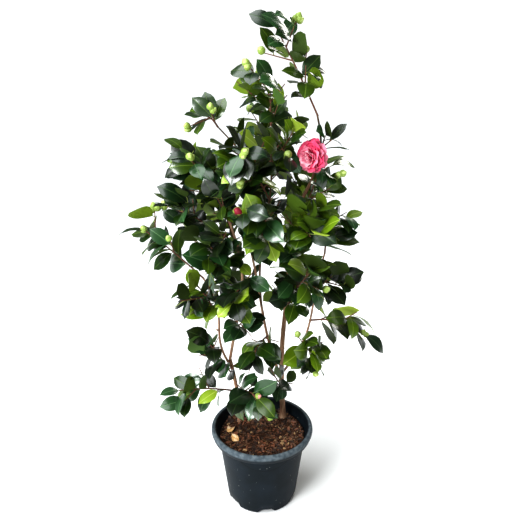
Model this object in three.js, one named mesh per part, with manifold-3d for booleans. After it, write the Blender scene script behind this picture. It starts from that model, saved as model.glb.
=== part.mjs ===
// A camellia shrub in its round nursery pot, in millimetres, +Z up.
// The origin is the middle of the pot's flat underside. The front of the plant looks along -Y.
import * as THREE from "three";
import { mergeVertices } from "three/addons/utils/BufferGeometryUtils.js";
import Module from "manifold-3d";

// ---------------------------------------------------------------- driving sizes

const CLEAR = 0.3; // gap kept between neighbouring solids
const POT = {
  height: 190,
  rimRadius: 121,
  footRadius: 83,
  neckRadius: 103.5,
  neckHeight: 165,
  wall: 2,
  floor: 3,
  facets: 32,
  notches: 6,
  notchWidth: 36,
  notchHeight: 8,
  notchDepth: 10,
  notchTurn: 0.62, // share of a notch's step by which the notches are turned from +X
};
const SOIL_TOP = 168;
const FACET_FALL = 0.15; // how far the flats of the pot's wall fall inside its circle
const CROWN_TOP = 1100;
const CROWN_AXIS = new THREE.Vector3(0, 30, 0); // the line that the leaves turn away from
const LOWEST_LEAF = 197; // foliage stays above the pot's rim

const LEAF = {
  length: 66,
  lengthSpread: 0.18,
  small: 0.74, // share of its length that a leaf has where the full one finds no room
  width: 0.6, // share of the length
  widest: 0.48, // where the leaf is widest, as a share of the length
  fold: 0.05, // fall of the leaf's edges below its midrib, as a share of the length
  spacing: 15, // between two leaves of a twig
  bare: 0.14, // first share of a twig, with no leaf
  lastAt: 0.98, // where the leaf at a twig's tip starts
  tilt: 1.0, // angle between leaf and twig, in radians
  tiltSpread: 0.15,
  lastTilt: 0.3, // the same for the leaf at a twig's tip
  droop: 0.32, // how far gravity pulls a leaf's direction down
  roll: 0.5, // how far a leaf may turn about its midrib, in radians
  facing: 0.8, // how far the leaf's face turns out from the crown's axis
  root: 0.1, // how far the leaf starts behind its twig's axis
  gap: 3, // kept between two leaves of a mass
  foot: 0.12, // share of the length from which that gap is kept
  end: 1.04, // and to which
};
const BUD = { length: 20, radius: 7.6, sides: 4, lean: 0.5 };
const TWIG = { radius: 1.6, tipRadius: 0.9, sides: 3, steps: 1 };
const LEADER = { radius: 2.2, tipRadius: 1.2, sides: 3, steps: 3, rise: 4 };
const TWIG_TURN = THREE.MathUtils.degToRad(137.5); // from one twig to the next, round the leader
const TWIG_STRAY = 0.3; // how far a twig's turn may stray from that, in radians
const TWIG_FIRST = 0.15; // share of the leader's length before its first twig
const TWIG_RANGE = 0.8; // share of the leader's length that bears twigs
const TWIG_REACH = [0.62, 0.95]; // a twig's shortest and longest length, as shares of the mass's reach
const TWIG_LEAN = 0.65; // how far a twig leans along its leader
const TWIG_RISE = 0.2; // how far it bends up
const LEAF_TURN = THREE.MathUtils.degToRad(144); // from one leaf to the next, round the twig
const SPACE_GAP = 2.5; // kept between the foliage of two masses, at each tested point
const LIMB_GAP = 6; // kept between foliage and a limb's surface
const TRIES = 6; // turns round the stem that a leaf or a twig tries before it is skipped

// Limbs: where each starts, where it ends, how far it bows to a side and how far it waves,
// and its radius at both ends. A bough starts at `at`, a share of the length of the limb it is `on`.
const LIMBS = [
  { name: "left_stem", foot: [-56, 42], end: [-75, 30, 346], bow: [5, 0, 0],
    radii: [4.6, 4.2], flare: 2.6, sides: 8 },
  { name: "right_stem", foot: [53, 58], end: [86, 22, 738], bow: [-17, 2, 0], wave: [-2, 3, 0],
    radii: [7, 3], flare: 3, sides: 8 },
  { name: "left_leader", on: "left_stem", at: 1, end: [-70, 12, 688], bow: [27, 4, 0], wave: [-5, 0, 0],
    radii: [3.6, 2.3], sides: 6 },
  { name: "left_bough", on: "left_stem", at: 0.86, end: [-128, 6, 560], bow: [2, -6, 0], wave: [-10, 0, 0],
    radii: [3, 1.9], sides: 6 },
  { name: "centre_bough", on: "right_stem", at: 0.19, end: [-30, 40, 640], bow: [-7, -4, 0], wave: [-3, 0, 0],
    radii: [3.8, 2.2], sides: 6 },
  { name: "centre_leader", on: "centre_bough", at: 0.55, end: [18, 30, 860], bow: [-2, -12, 0],
    wave: [-7, 0, 0], radii: [2.6, 1.8], sides: 6 },
  { name: "upper_left_bough", on: "centre_leader", at: 0.72, end: [-86, -6, 880], bow: [-6, -6, 12],
    radii: [1.9, 1.4], sides: 6 },
  { name: "right_low_bough", on: "right_stem", at: 0.22, end: [136, 20, 612], bow: [20, -4, 0],
    wave: [7, 0, 0], radii: [3, 1.8], sides: 6 },
  { name: "long_shoot", on: "right_stem", at: 1, end: [110, 20, 902], bow: [20, 0, 0],
    radii: [2.7, 1.9], sides: 6 },
];

// Masses of foliage: the limb each grows on, where its leader ends, how far its foliage reaches
// from the leader, how many twigs it has and how many of their tips carry a bud.
const MASSES = [
  { name: "top_spray", on: "long_shoot", at: 1, tip: [26, 18, 1062], reach: 68,
    twigs: 4, buds: 3, seed: 21 },
  { name: "crest", on: "centre_leader", at: 1, tip: [16, 22, 958], reach: 96,
    twigs: 6, buds: 3, seed: 33 },
  { name: "shoulder_spray", on: "long_shoot", at: 0.5, tip: [126, 6, 862], reach: 56,
    twigs: 2, buds: 0, seed: 741 },
  { name: "upper_left_spray", on: "upper_left_bough", at: 1, tip: [-106, -12, 900], reach: 64,
    twigs: 3, buds: 3, seed: 457 },
  { name: "front_crown", on: "centre_leader", at: 0.66, tip: [-40, -64, 842], reach: 90,
    twigs: 6, buds: 4, seed: 1183 },
  { name: "heart_crown", on: "centre_leader", at: 0.86, tip: [46, -18, 846], reach: 78,
    twigs: 4, buds: 2, seed: 299 },
  { name: "left_crown", on: "left_leader", at: 1, tip: [-126, -14, 808], reach: 96,
    twigs: 6, buds: 3, seed: 221 },
  { name: "right_crown", on: "right_stem", at: 0.86, tip: [120, 26, 792], reach: 78,
    twigs: 5, buds: 2, seed: 831 },
  { name: "back_crown", on: "centre_leader", at: 0.78, tip: [20, 118, 850], reach: 94,
    twigs: 4, buds: 2, seed: 653 },
  { name: "left_side", on: "left_leader", at: 0.84, tip: [-162, -20, 716], reach: 86,
    twigs: 5, buds: 2, seed: 597 },
  { name: "left_spray", on: "left_bough", at: 1, tip: [-238, -28, 676], reach: 74,
    twigs: 2, buds: 3, droop: 0.5, seed: 311 },
  { name: "left_middle", on: "left_leader", at: 0.66, tip: [-104, -60, 652], reach: 80,
    twigs: 5, buds: 0, seed: 307 },
  { name: "left_back", on: "left_leader", at: 0.74, tip: [-100, 112, 720], reach: 92,
    twigs: 4, buds: 1, seed: 1073 },
  { name: "centre_front", on: "centre_leader", at: 0.36, tip: [4, -70, 716], reach: 84,
    twigs: 5, buds: 2, seed: 497 },
  { name: "centre_back", on: "centre_bough", at: 1, tip: [-6, 130, 690], reach: 88,
    twigs: 4, buds: 0, seed: 1291 },
  { name: "right_front", on: "right_stem", at: 0.74, tip: [92, -56, 706], reach: 82,
    twigs: 4, buds: 1, seed: 349 },
  { name: "right_back", on: "right_stem", at: 0.8, tip: [98, 130, 716], reach: 90,
    twigs: 4, buds: 0, seed: 1481 },
  { name: "right_side", on: "right_low_bough", at: 1, tip: [138, 4, 690], reach: 78,
    twigs: 4, buds: 0, seed: 1053 },
  { name: "right_middle", on: "right_stem", at: 0.56, tip: [98, -46, 590], reach: 78,
    twigs: 4, buds: 2, seed: 437 },
  { name: "left_low", on: "left_bough", at: 0.6, tip: [-134, -34, 556], reach: 78,
    twigs: 5, buds: 0, seed: 433 },
  { name: "inner_low", on: "left_leader", at: 0.42, tip: [-54, -54, 552], reach: 80,
    twigs: 4, buds: 0, seed: 701 },
  { name: "right_low", on: "right_low_bough", at: 0.7, tip: [150, -10, 570], reach: 72,
    twigs: 4, buds: 0, seed: 1061 },
  { name: "right_low_back", on: "right_stem", at: 0.48, tip: [86, 122, 520], reach: 82,
    twigs: 4, buds: 0, seed: 523 },
  { name: "low_back", on: "left_leader", at: 0.3, tip: [-70, 112, 508], reach: 84,
    twigs: 4, buds: 0, seed: 497 },
  { name: "drooping_spray", on: "right_low_bough", at: 0.48, tip: [228, 0, 426], reach: 72,
    twigs: 2, buds: 3, rise: 16, droop: 0.6, seed: 229 },
  { name: "low_left", on: "left_stem", at: 0.7, tip: [-118, -8, 408], reach: 70,
    twigs: 4, buds: 0, seed: 901 },
  { name: "low_inner", on: "left_leader", at: 0.2, tip: [-44, -28, 470], reach: 62,
    twigs: 3, buds: 0, seed: 587 },
  { name: "low_centre", on: "centre_bough", at: 0.34, tip: [-16, -34, 404], reach: 64,
    twigs: 3, buds: 0, seed: 1013 },
  { name: "low_right", on: "right_low_bough", at: 0.26, tip: [108, -18, 392], reach: 70,
    twigs: 3, buds: 2, seed: 947 },
  { name: "bottom_left_spray", on: "left_stem", at: 0.5, tip: [-190, -28, 300], reach: 62,
    twigs: 3, buds: 0, rise: 6, droop: 0.4, seed: 909 },
  { name: "bottom_front", on: "left_stem", at: 0.42, tip: [-14, -40, 292], reach: 70,
    twigs: 3, buds: 2, rise: 14, seed: 721 },
  { name: "bottom_right", on: "right_stem", at: 0.16, tip: [34, 18, 296], reach: 50,
    twigs: 2, buds: 0, seed: 883 },
];

// The open flower, on its own short spur at the right stem's fork.
const FLOWER = {
  name: "flower_spray",
  on: "right_stem",
  at: 0.985,
  centre: [96, -40, 828],
  faces: [-0.36, -0.9, 0.12],
  radius: 32,
  back: 8.7, // from its centre to the foot of its outer petals
  rowGap: 2.9, // from one ring's foot to the next
  room: 60, // free space kept in front of it
  bow: [10, 4, 0],
  rings: [
    { petals: 8, reach: 1.0, open: 0.12 },
    { petals: 7, reach: 0.78, open: 0.5 },
    { petals: 6, reach: 0.54, open: 0.95 },
  ],
  notch: 0.88, // share of the radius left between two petals
  petalThick: 1.6,
  heartRadius: 11,
};

// ---------------------------------------------------------------- materials

const finish = (color, roughness) => new THREE.MeshStandardMaterial({ color, roughness, metalness: 0 });
const POT_PLASTIC = finish("#2b3034", 0.45);
const POTTING_SOIL = finish("#3a231a", 0.95);
const BARK = finish("#7a5a48", 0.85);
const LEAF_GREEN = finish("#1f4a1c", 0.35);
const PETAL_PINK = finish("#d9405f", 0.6);

// ---------------------------------------------------------------- small tools

const wasm = await Module();
wasm.setup();

const SAME_PLACE = 1e-3; // corners nearer to each other than this are one
const vec = (list) => new THREE.Vector3(...list);
const along = (point, direction, distance) => point.clone().addScaledVector(direction, distance);

// The same row of numbers for the same seed, each from 0 to 1.
class Dice {
  constructor(seed) {
    this.state = seed;
    this.roll();
  }
  roll() {
    this.state = (this.state * 16807) % 2147483647;
    return this.state / 2147483647;
  }
  between(low, high) {
    return low + (high - low) * this.roll();
  }
}

// A closed mesh as a solid, from the numbers of its corners and of its faces.
function solidFrom(corners, faces) {
  const vertProperties = new Float32Array(corners);
  const triVerts = new Uint32Array(faces);
  return new wasm.Manifold(new wasm.Mesh({ numProp: 3, vertProperties, triVerts }));
}

function solidOf(points, faces) {
  return solidFrom(points.flatMap((p) => [p.x, p.y, p.z]), faces.flat());
}

// A three.js geometry as a solid: corners at the same place are made one.
function solidOfGeometry(geometry) {
  geometry.deleteAttribute("normal");
  geometry.deleteAttribute("uv");
  const merged = mergeVertices(geometry, SAME_PLACE);
  return solidFrom(merged.getAttribute("position").array, merged.index.array);
}

// A solid as a three.js geometry.
function geometryOf(solid) {
  const { numProp, numVert, vertProperties, triVerts } = solid.getMesh();
  const position = new Float32Array(numVert * 3);
  for (let i = 0; i < numVert; i++) {
    position.set(vertProperties.subarray(i * numProp, i * numProp + 3), i * 3);
  }
  const geometry = new THREE.BufferGeometry();
  geometry.setAttribute("position", new THREE.BufferAttribute(position, 3));
  geometry.setIndex(new THREE.BufferAttribute(triVerts, 1));
  geometry.computeVertexNormals();
  return geometry;
}

const plant = new THREE.Group();

function addMesh(name, geometry, material) {
  const mesh = new THREE.Mesh(geometry, material);
  mesh.name = name;
  plant.add(mesh);
}

// ---------------------------------------------------------------- bent limbs

// A limb's middle line: a straight run, bowed to one side and waved about it.
class BentLine extends THREE.Curve {
  constructor(start, end, bow, wave) {
    super();
    this.start = start;
    this.run = end.clone().sub(start);
    this.bow = bow;
    this.wave = wave;
  }
  getPoint(t) {
    return along(this.start, this.run, t)
      .addScaledVector(this.bow, Math.sin(Math.PI * t))
      .addScaledVector(this.wave, Math.sin(2 * Math.PI * t));
  }
  getTangent(t) {
    return this.run.clone()
      .addScaledVector(this.bow, Math.PI * Math.cos(Math.PI * t))
      .addScaledVector(this.wave, 2 * Math.PI * Math.cos(2 * Math.PI * t))
      .normalize();
  }
  length() {
    return this.run.length();
  }
}

const STILL = new THREE.Vector3();

// Two directions across a given one.
function across(direction) {
  const up = Math.abs(direction.z) > 0.9 ? new THREE.Vector3(1, 0, 0) : new THREE.Vector3(0, 0, 1);
  const side = up.clone().cross(direction).normalize();
  return [side, direction.clone().cross(side).normalize()];
}

// A round, tapering tube with flat ends along a line. radiusAt gives its radius at t.
function tube(line, radiusAt, sides, steps, flatFoot = false) {
  const points = [];
  const faces = [];
  let [u, v] = across(line.getTangent(0));
  for (let i = 0; i <= steps; i++) {
    const t = i / steps;
    const middle = line.getPoint(t);
    const tangent = flatFoot && i === 0 ? new THREE.Vector3(0, 0, 1) : line.getTangent(t);
    u = u.clone().addScaledVector(tangent, -u.dot(tangent)).normalize();
    v = tangent.clone().cross(u);
    for (let k = 0; k < sides; k++) {
      const angle = (2 * Math.PI * k) / sides;
      const radius = radiusAt(t);
      points.push(along(along(middle, u, radius * Math.cos(angle)), v, radius * Math.sin(angle)));
    }
  }
  const ring = (i, k) => i * sides + (k % sides);
  for (let i = 0; i < steps; i++) {
    for (let k = 0; k < sides; k++) {
      faces.push([ring(i, k), ring(i, k + 1), ring(i + 1, k + 1)]);
      faces.push([ring(i, k), ring(i + 1, k + 1), ring(i + 1, k)]);
    }
  }
  for (let k = 1; k < sides - 1; k++) {
    faces.push([ring(0, 0), ring(0, k + 1), ring(0, k)]);
    faces.push([ring(steps, 0), ring(steps, k), ring(steps, k + 1)]);
  }
  return solidOf(points, faces);
}

// Where a line that ends at `end` starts on a limb: just clear of the limb's tip, or on its middle
// line, for `clearOf` to cut it back from the limb's side.
function seat(limb, at, ownRadius, end, bow, wave) {
  const middle = limb.line.getPoint(at);
  if (at < 1) return middle;
  const tangent = limb.line.getTangent(at);
  const away = new BentLine(middle, end, bow, wave).getTangent(0);
  const slant = Math.sqrt(Math.max(0, 1 - away.dot(tangent) ** 2));
  return along(middle, tangent, CLEAR + ownRadius * slant);
}

// A solid cut back to just clear of the side of the limb it grows on.
function clearOf(limb, at, solid) {
  return at < 1 ? mainBody(solid.subtract(limb.room)) : mainBody(solid);
}

const LINE_SAMPLES = 6; // stretches that stand for a line where distances to it are tested
const LIMB_STEPS = 6; // straight stretches of a limb
const FLARE_HEIGHT = 0.06; // share of a stem's length over which its root flare runs out

function makeLimb(spec, limbs) {
  const [thick, thin] = spec.radii;
  const course = [vec(spec.end), vec(spec.bow), vec(spec.wave ?? [0, 0, 0])];
  const start = spec.foot
    ? new THREE.Vector3(...spec.foot, SOIL_TOP + CLEAR)
    : seat(limbs.get(spec.on), spec.at, thick, ...course);
  const line = new BentLine(start, ...course);
  const radiusAt = (t) => {
    const flare = spec.flare ? spec.flare * Math.max(0, 1 - t / FLARE_HEIGHT) ** 2 : 0;
    return thick + (thin - thick) * t + flare;
  };
  const { sides } = spec;
  const solid = tube(line, radiusAt, sides, LIMB_STEPS, Boolean(spec.foot));
  const roomAt = (t) => radiusAt(t) + CLEAR / Math.cos(Math.PI / sides);
  return {
    ...spec,
    line,
    radiusAt,
    stretches: polyline(line),
    room: tube(line, roomAt, sides, LIMB_STEPS, Boolean(spec.foot)),
    solid: spec.on ? clearOf(limbs.get(spec.on), spec.at, solid) : solid,
  };
}

// ---------------------------------------------------------------- the spaces of the masses

function polyline(line) {
  return Array.from({ length: LINE_SAMPLES + 1 }, (_, i) => line.getPoint(i / LINE_SAMPLES));
}

// The distance from a point to a row of joined stretches, and the share of the row's length there.
function nearest(point, stretches) {
  let best = Infinity;
  let share = 0;
  for (let i = 0; i + 1 < stretches.length; i++) {
    const run = stretches[i + 1].clone().sub(stretches[i]);
    const offset = point.clone().sub(stretches[i]);
    const t = Math.min(1, Math.max(0, offset.dot(run) / run.lengthSq()));
    const distance = offset.addScaledVector(run, -t).length();
    if (distance < best) {
      best = distance;
      share = (i + t) / (stretches.length - 1);
    }
  }
  return { distance: best, share };
}

// Whether a point lies in a mass's own space, clear of every limb and of the other masses' spaces.
function inSpace(point, mass, masses, obstacles) {
  if (point.z > CROWN_TOP || point.z < LOWEST_LEAF) return false;
  const own = nearest(point, mass.stretches).distance;
  if (own > mass.reach) return false;
  for (const other of masses) {
    if (other !== mass && nearest(point, other.stretches).distance < own + SPACE_GAP) return false;
  }
  for (const { stretches, radiusAt } of obstacles) {
    const { distance, share } = nearest(point, stretches);
    if (distance < radiusAt(share) + LIMB_GAP) return false;
  }
  return true;
}

// ---------------------------------------------------------------- leaves, buds and twigs

// A direction at a given turn round a stem, straight across it.
function spoke(tangent, turn) {
  const [u, v] = across(tangent);
  return u.multiplyScalar(Math.cos(turn)).addScaledVector(v, Math.sin(turn));
}

// A leaf's own directions and sizes: out along its midrib, across it, and its face.
function leafFrame(line, t, turn, tilt, roll, droop, length) {
  const tangent = line.getTangent(t);
  const out = tangent.clone().multiplyScalar(Math.cos(tilt));
  out.addScaledVector(spoke(tangent, turn), Math.sin(tilt));
  out.z -= droop;
  out.normalize();
  const base = along(line.getPoint(t), out, -LEAF.root);
  const outward = base.clone().sub(CROWN_AXIS).setZ(0).normalize();
  const face = new THREE.Vector3(0, 0, 1).addScaledVector(outward, LEAF.facing);
  face.addScaledVector(out, -face.dot(out)).normalize().applyAxisAngle(out, roll);
  return { base, out, face, cross: out.clone().cross(face), length };
}

// How wide a leaf is at t, from 0 at both ends to 1 where it is widest.
const swell = (t) => (t < LEAF.widest ? t / LEAF.widest : (1 - t) / (1 - LEAF.widest));
const halfWidth = (leaf, t) => 0.5 * LEAF.width * leaf.length * swell(t);
const bladeFall = (leaf, t, s) => LEAF.fold * leaf.length * Math.abs(s) * swell(t);

// A place on a leaf: t runs from base to tip, s from one edge (-1) to the other (1).
function onLeaf(leaf, t, s) {
  const midrib = along(leaf.base, leaf.out, leaf.length * t);
  return along(along(midrib, leaf.cross, halfWidth(leaf, t) * s), leaf.face, -bladeFall(leaf, t, s));
}

// Whether a point comes too near a leaf's blade, away from the foot of the leaf.
function nearBlade(point, leaf) {
  const from = point.clone().sub(leaf.base);
  const t = from.dot(leaf.out) / leaf.length;
  if (t < LEAF.foot || t > LEAF.end) return false;
  const half = halfWidth(leaf, Math.min(1, t)) + LEAF.gap;
  const s = from.dot(leaf.cross) / half;
  return Math.abs(s) < 1 && Math.abs(from.dot(leaf.face) + bladeFall(leaf, Math.min(1, t), s)) < LEAF.gap;
}

const TWIG_TESTS = [0.2, 0.35, 0.5, 0.65, 0.8, 0.9, 1];
const ALONG_TESTS = [0.15, 0.28, 0.4, 0.52, 0.64, 0.76, 0.88, 1];
const ACROSS_TESTS = [-1, -0.5, 0, 0.5, 1];
const bladePoints = (leaf) => ALONG_TESTS.flatMap((t) => ACROSS_TESTS.map((s) => onLeaf(leaf, t, s)));

// Whether a leaf stays in its space and clear of the twigs and leaves already there.
function leafFits(leaf, own, twigs, leaves, fits) {
  const points = bladePoints(leaf);
  const meets = (other) =>
    points.some((p) => nearBlade(p, other)) || other.points.some((p) => nearBlade(p, leaf));
  const pierced = (twig) => TWIG_TESTS.some((t) => nearBlade(twig.line.getPoint(t), leaf));
  return points.every(fits) && !leaves.some(meets) && !twigs.some((twig) => twig !== own && pierced(twig));
}

// A leaf as a closed solid of four faces, folded along its midrib.
function leafSolid(leaf) {
  const edge = (side) => onLeaf(leaf, LEAF.widest, side);
  return solidOf([leaf.base, edge(1), onLeaf(leaf, 1, 0), edge(-1)], [
    [0, 1, 2],
    [0, 2, 3],
    [0, 3, 1],
    [1, 3, 2],
  ]);
}

// A bud: an egg on a short neck, grown on from a twig's tip.
const BUD_PROFILE = [
  [-0.12, 0.1],
  [0.45, 1],
  [1, 0.08],
];
function budSolid({ line }) {
  const direction = line.getTangent(0);
  const steps = BUD_PROFILE.length - 1;
  const axis = {
    getTangent: () => direction,
    getPoint: (t) => along(line.start, direction, BUD.length * BUD_PROFILE[Math.round(t * steps)][0]),
  };
  return tube(axis, (t) => BUD.radius * BUD_PROFILE[Math.round(t * steps)][1], BUD.sides, steps);
}

function twigSolid({ line, radius, tipRadius, sides, steps }) {
  return tube(line, (t) => radius + (tipRadius - radius) * t, sides, steps);
}

const TWIG_SHARES = [1, 0.75, 0.5];

// A side twig of a leader at t, turned and then shortened until it stays in its mass's space.
function growTwig(mass, t, turn, full, fits) {
  const start = mass.leader.getPoint(t);
  const tangent = mass.leader.getTangent(t);
  for (let n = 0; n < TRIES; n++) {
    const direction = spoke(tangent, turn + (n * 2 * Math.PI) / TRIES).addScaledVector(tangent, TWIG_LEAN);
    direction.z += TWIG_RISE;
    direction.normalize();
    for (const share of TWIG_SHARES) {
      const line = new BentLine(start, along(start, direction, full * share), STILL, STILL);
      if (TWIG_TESTS.every((s) => fits(line.getPoint(s)))) return { line, ...TWIG };
    }
  }
  return null;
}

// A bud at the tip of each of the last twigs, leaning to the first side where it has room.
function growBuds(mass, twigs, fits) {
  const buds = [];
  for (const twig of twigs.slice(twigs.length - mass.buds)) {
    const start = twig.line.getPoint(1);
    const tangent = twig.line.getTangent(1);
    for (let n = 0; n < TRIES; n++) {
      const direction = tangent.clone().addScaledVector(spoke(tangent, (n * 2 * Math.PI) / TRIES), BUD.lean);
      direction.z += BUD.lean;
      const line = new BentLine(start, along(start, direction.normalize(), BUD.length), STILL, STILL);
      if (fits(line.getPoint(0.5)) && fits(line.getPoint(1.2))) {
        buds.push({ line, twig });
        break;
      }
    }
  }
  return buds;
}

// The twigs of a mass: its leader, and side twigs spread round it that stay in its space.
function growTwigs(mass, dice, fits) {
  const twigs = [{ line: mass.leader, ...LEADER }];
  for (let k = 0; k < mass.twigs; k++) {
    const t = TWIG_FIRST + TWIG_RANGE * ((k + dice.roll()) / mass.twigs);
    const turn = k * TWIG_TURN + dice.between(-TWIG_STRAY, TWIG_STRAY);
    const twig = growTwig(mass, t, turn, mass.reach * dice.between(...TWIG_REACH), fits);
    if (twig) twigs.push(twig);
  }
  return twigs;
}

// Adds the leaves of one twig, each tried at a few turns round it until it fits.
function growLeaves(twig, twigs, leaves, droop, dice, fits) {
  const count = Math.max(2, Math.round((twig.line.length() * (1 - LEAF.bare)) / LEAF.spacing) + 1);
  const firstTurn = dice.between(0, 2 * Math.PI);
  for (let j = 0; j < count; j++) {
    const last = j === count - 1;
    const t = last ? LEAF.lastAt : LEAF.bare + ((1 - LEAF.bare) * (j + 0.5)) / count;
    const tilt = (last ? LEAF.lastTilt : LEAF.tilt) * (1 + LEAF.tiltSpread * dice.between(-1, 1));
    const roll = LEAF.roll * dice.between(-1, 1);
    const full = LEAF.length * (1 + LEAF.lengthSpread * dice.between(-1, 1));
    for (let n = 0; n < 2 * TRIES; n++) {
      const turn = firstTurn + j * LEAF_TURN + (n * 2 * Math.PI) / TRIES;
      const leaf = leafFrame(twig.line, t, turn, tilt, roll, droop, n < TRIES ? full : LEAF.small * full);
      if (leafFits(leaf, twig, twigs, leaves, fits)) {
        leaves.push({ ...leaf, twig, points: bladePoints(leaf) });
        break;
      }
    }
  }
}

// The largest body of a solid: a hollow sealed by the fusing is filled and a loose scrap dropped.
function mainBody(solid) {
  return solid.decompose().sort((a, b) => b.volume() - a.volume())[0];
}

// A mass as one solid: the twigs that bear a leaf or a bud, their leaves and their buds.
function massSolid(mass, masses, obstacles) {
  const dice = new Dice(mass.seed);
  const fits = (point) => inSpace(point, mass, masses, obstacles);
  const twigs = growTwigs(mass, dice, fits);
  const buds = growBuds(mass, twigs, fits);
  const leaves = [];
  const droop = mass.droop ?? LEAF.droop;
  for (const twig of twigs) growLeaves(twig, [...twigs, ...buds], leaves, droop, dice, fits);
  const bearing = [...new Set([twigs[0], ...[...buds, ...leaves].map((grown) => grown.twig)])];
  return wasm.Manifold.union([...bearing.map(twigSolid), ...leaves.map(leafSolid), ...buds.map(budSolid)]);
}

// ---------------------------------------------------------------- flower

// A thin closed solid: the corners round its edge, one above and one below its middle.
function bladeSolid(rim, middle, face, thick) {
  const points = [...rim, along(middle, face, thick / 2), along(middle, face, -thick / 2)];
  const faces = rim.flatMap((_, i) => {
    const next = (i + 1) % rim.length;
    return [
      [i, next, rim.length],
      [next, i, rim.length + 1],
    ];
  });
  return solidOf(points, faces);
}

// A ring of petals: a shallow cup with a scalloped edge.
function petalRing(flower, ring, row) {
  const facing = vec(flower.faces).normalize();
  const back = along(vec(flower.centre), facing, flower.rowGap * row - flower.back);
  const rim = Array.from({ length: 2 * ring.petals }, (_, i) => {
    const reach = flower.radius * ring.reach * (i % 2 ? flower.notch : 1);
    const out = spoke(facing, (Math.PI * (i + row)) / ring.petals).multiplyScalar(Math.cos(ring.open));
    return along(back, out.addScaledVector(facing, Math.sin(ring.open)), reach);
  });
  return bladeSolid(rim, back, facing, flower.petalThick);
}

// The short stem that bears the flower.
function flowerSpur(flower, limbs) {
  const back = along(vec(flower.centre), vec(flower.faces).normalize(), -flower.back);
  const course = [back, vec(flower.bow), STILL];
  return new BentLine(seat(limbs.get(flower.on), flower.at, TWIG.radius, ...course), ...course);
}

function flowerSolid(flower, spur) {
  const heart = new THREE.IcosahedronGeometry(flower.heartRadius, 0);
  return wasm.Manifold.union([
    tube(spur, () => TWIG.radius, LEADER.sides + 2, 4),
    ...flower.rings.map((ring, row) => petalRing(flower, ring, row)),
    solidOfGeometry(heart).translate(flower.centre),
  ]);
}

// ---------------------------------------------------------------- pot and soil

function potSolid() {
  const { height, rimRadius, footRadius, neckRadius, neckHeight, wall, floor } = POT;
  const profile = [
    [0, 0],
    [footRadius - 2.5, 0],
    [footRadius, 2.5],
    [neckRadius, neckHeight],
    [rimRadius - 4, neckHeight + 5.5],
    [rimRadius, neckHeight + 13],
    [rimRadius - 1.5, height - 4],
    [rimRadius - 6.5, height],
    [rimRadius - 11, height - 3],
    [rimRadius - 13, neckHeight + 8],
    [neckRadius - wall, neckHeight],
    [footRadius - wall, floor],
    [0, floor],
  ];
  const shell = new THREE.LatheGeometry(profile.map(([r, z]) => new THREE.Vector2(r, z)), POT.facets);
  shell.rotateX(Math.PI / 2);
  let pot = solidOfGeometry(shell);
  for (let k = 0; k < POT.notches; k++) {
    const notch = new THREE.BoxGeometry(POT.notchDepth * 2, POT.notchWidth, POT.notchHeight * 2);
    notch.translate(footRadius + 2, 0, 0);
    notch.rotateZ(2 * Math.PI * ((k + POT.notchTurn) / POT.notches));
    pot = pot.subtract(solidOfGeometry(notch));
  }
  return pot;
}

function soilSolid() {
  const { footRadius, neckRadius, neckHeight, wall, floor } = POT;
  const gap = wall + CLEAR + FACET_FALL;
  const profile = [
    [0, floor + CLEAR],
    [footRadius - gap, floor + CLEAR],
    [neckRadius - gap, neckHeight],
    [neckRadius - gap, SOIL_TOP],
    [0, SOIL_TOP],
  ];
  const body = new THREE.LatheGeometry(profile.map(([r, z]) => new THREE.Vector2(r, z)), POT.facets);
  body.rotateX(Math.PI / 2);
  return solidOfGeometry(body);
}

// ---------------------------------------------------------------- the plant in its pot

addMesh("pot", geometryOf(potSolid()), POT_PLASTIC);
addMesh("potting_soil", geometryOf(soilSolid()), POTTING_SOIL);

const limbs = new Map();
for (const spec of LIMBS) {
  const limb = makeLimb(spec, limbs);
  limbs.set(spec.name, limb);
  addMesh(spec.name, geometryOf(limb.solid), BARK);
}

const masses = MASSES.map((spec) => {
  const course = [vec(spec.tip), new THREE.Vector3(0, 0, spec.rise ?? LEADER.rise), STILL];
  const leader = new BentLine(seat(limbs.get(spec.on), spec.at, LEADER.radius, ...course), ...course);
  return { ...spec, leader, stretches: polyline(leader) };
});

// The flower's spur, and the free space in front of it, are kept clear like the limbs.
const spur = flowerSpur(FLOWER, limbs);
const view = along(vec(FLOWER.centre), vec(FLOWER.faces).normalize(), FLOWER.room);
const obstacles = [
  ...limbs.values(),
  { stretches: polyline(spur), radiusAt: () => TWIG.radius },
  { stretches: [vec(FLOWER.centre), view], radiusAt: () => FLOWER.radius },
];
for (const mass of masses) {
  const solid = clearOf(limbs.get(mass.on), mass.at, massSolid(mass, masses, obstacles));
  addMesh(mass.name, geometryOf(solid), LEAF_GREEN);
}
const flower = clearOf(limbs.get(FLOWER.on), FLOWER.at, flowerSolid(FLOWER, spur));
addMesh(FLOWER.name, geometryOf(flower), PETAL_PINK);

export default plant;
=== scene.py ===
"""A camellia shrub in its round nursery pot, dressed for a plain studio view.

Everything is in metres, +Z up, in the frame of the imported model, with the front along -Y. The limbs,
the masses of foliage and their leaves grow by the same seeded rule as the solids that they replace,
and the rule is carried on here to finer twigs, more leaves, more buds and the petals of the bloom.
"""

import logging
import math
from contextlib import contextmanager
from dataclasses import dataclass, field
from enum import Enum
from functools import partial
from typing import Callable, Iterator

import bmesh
import bpy
import numpy as np
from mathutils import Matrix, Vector, noise

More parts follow.
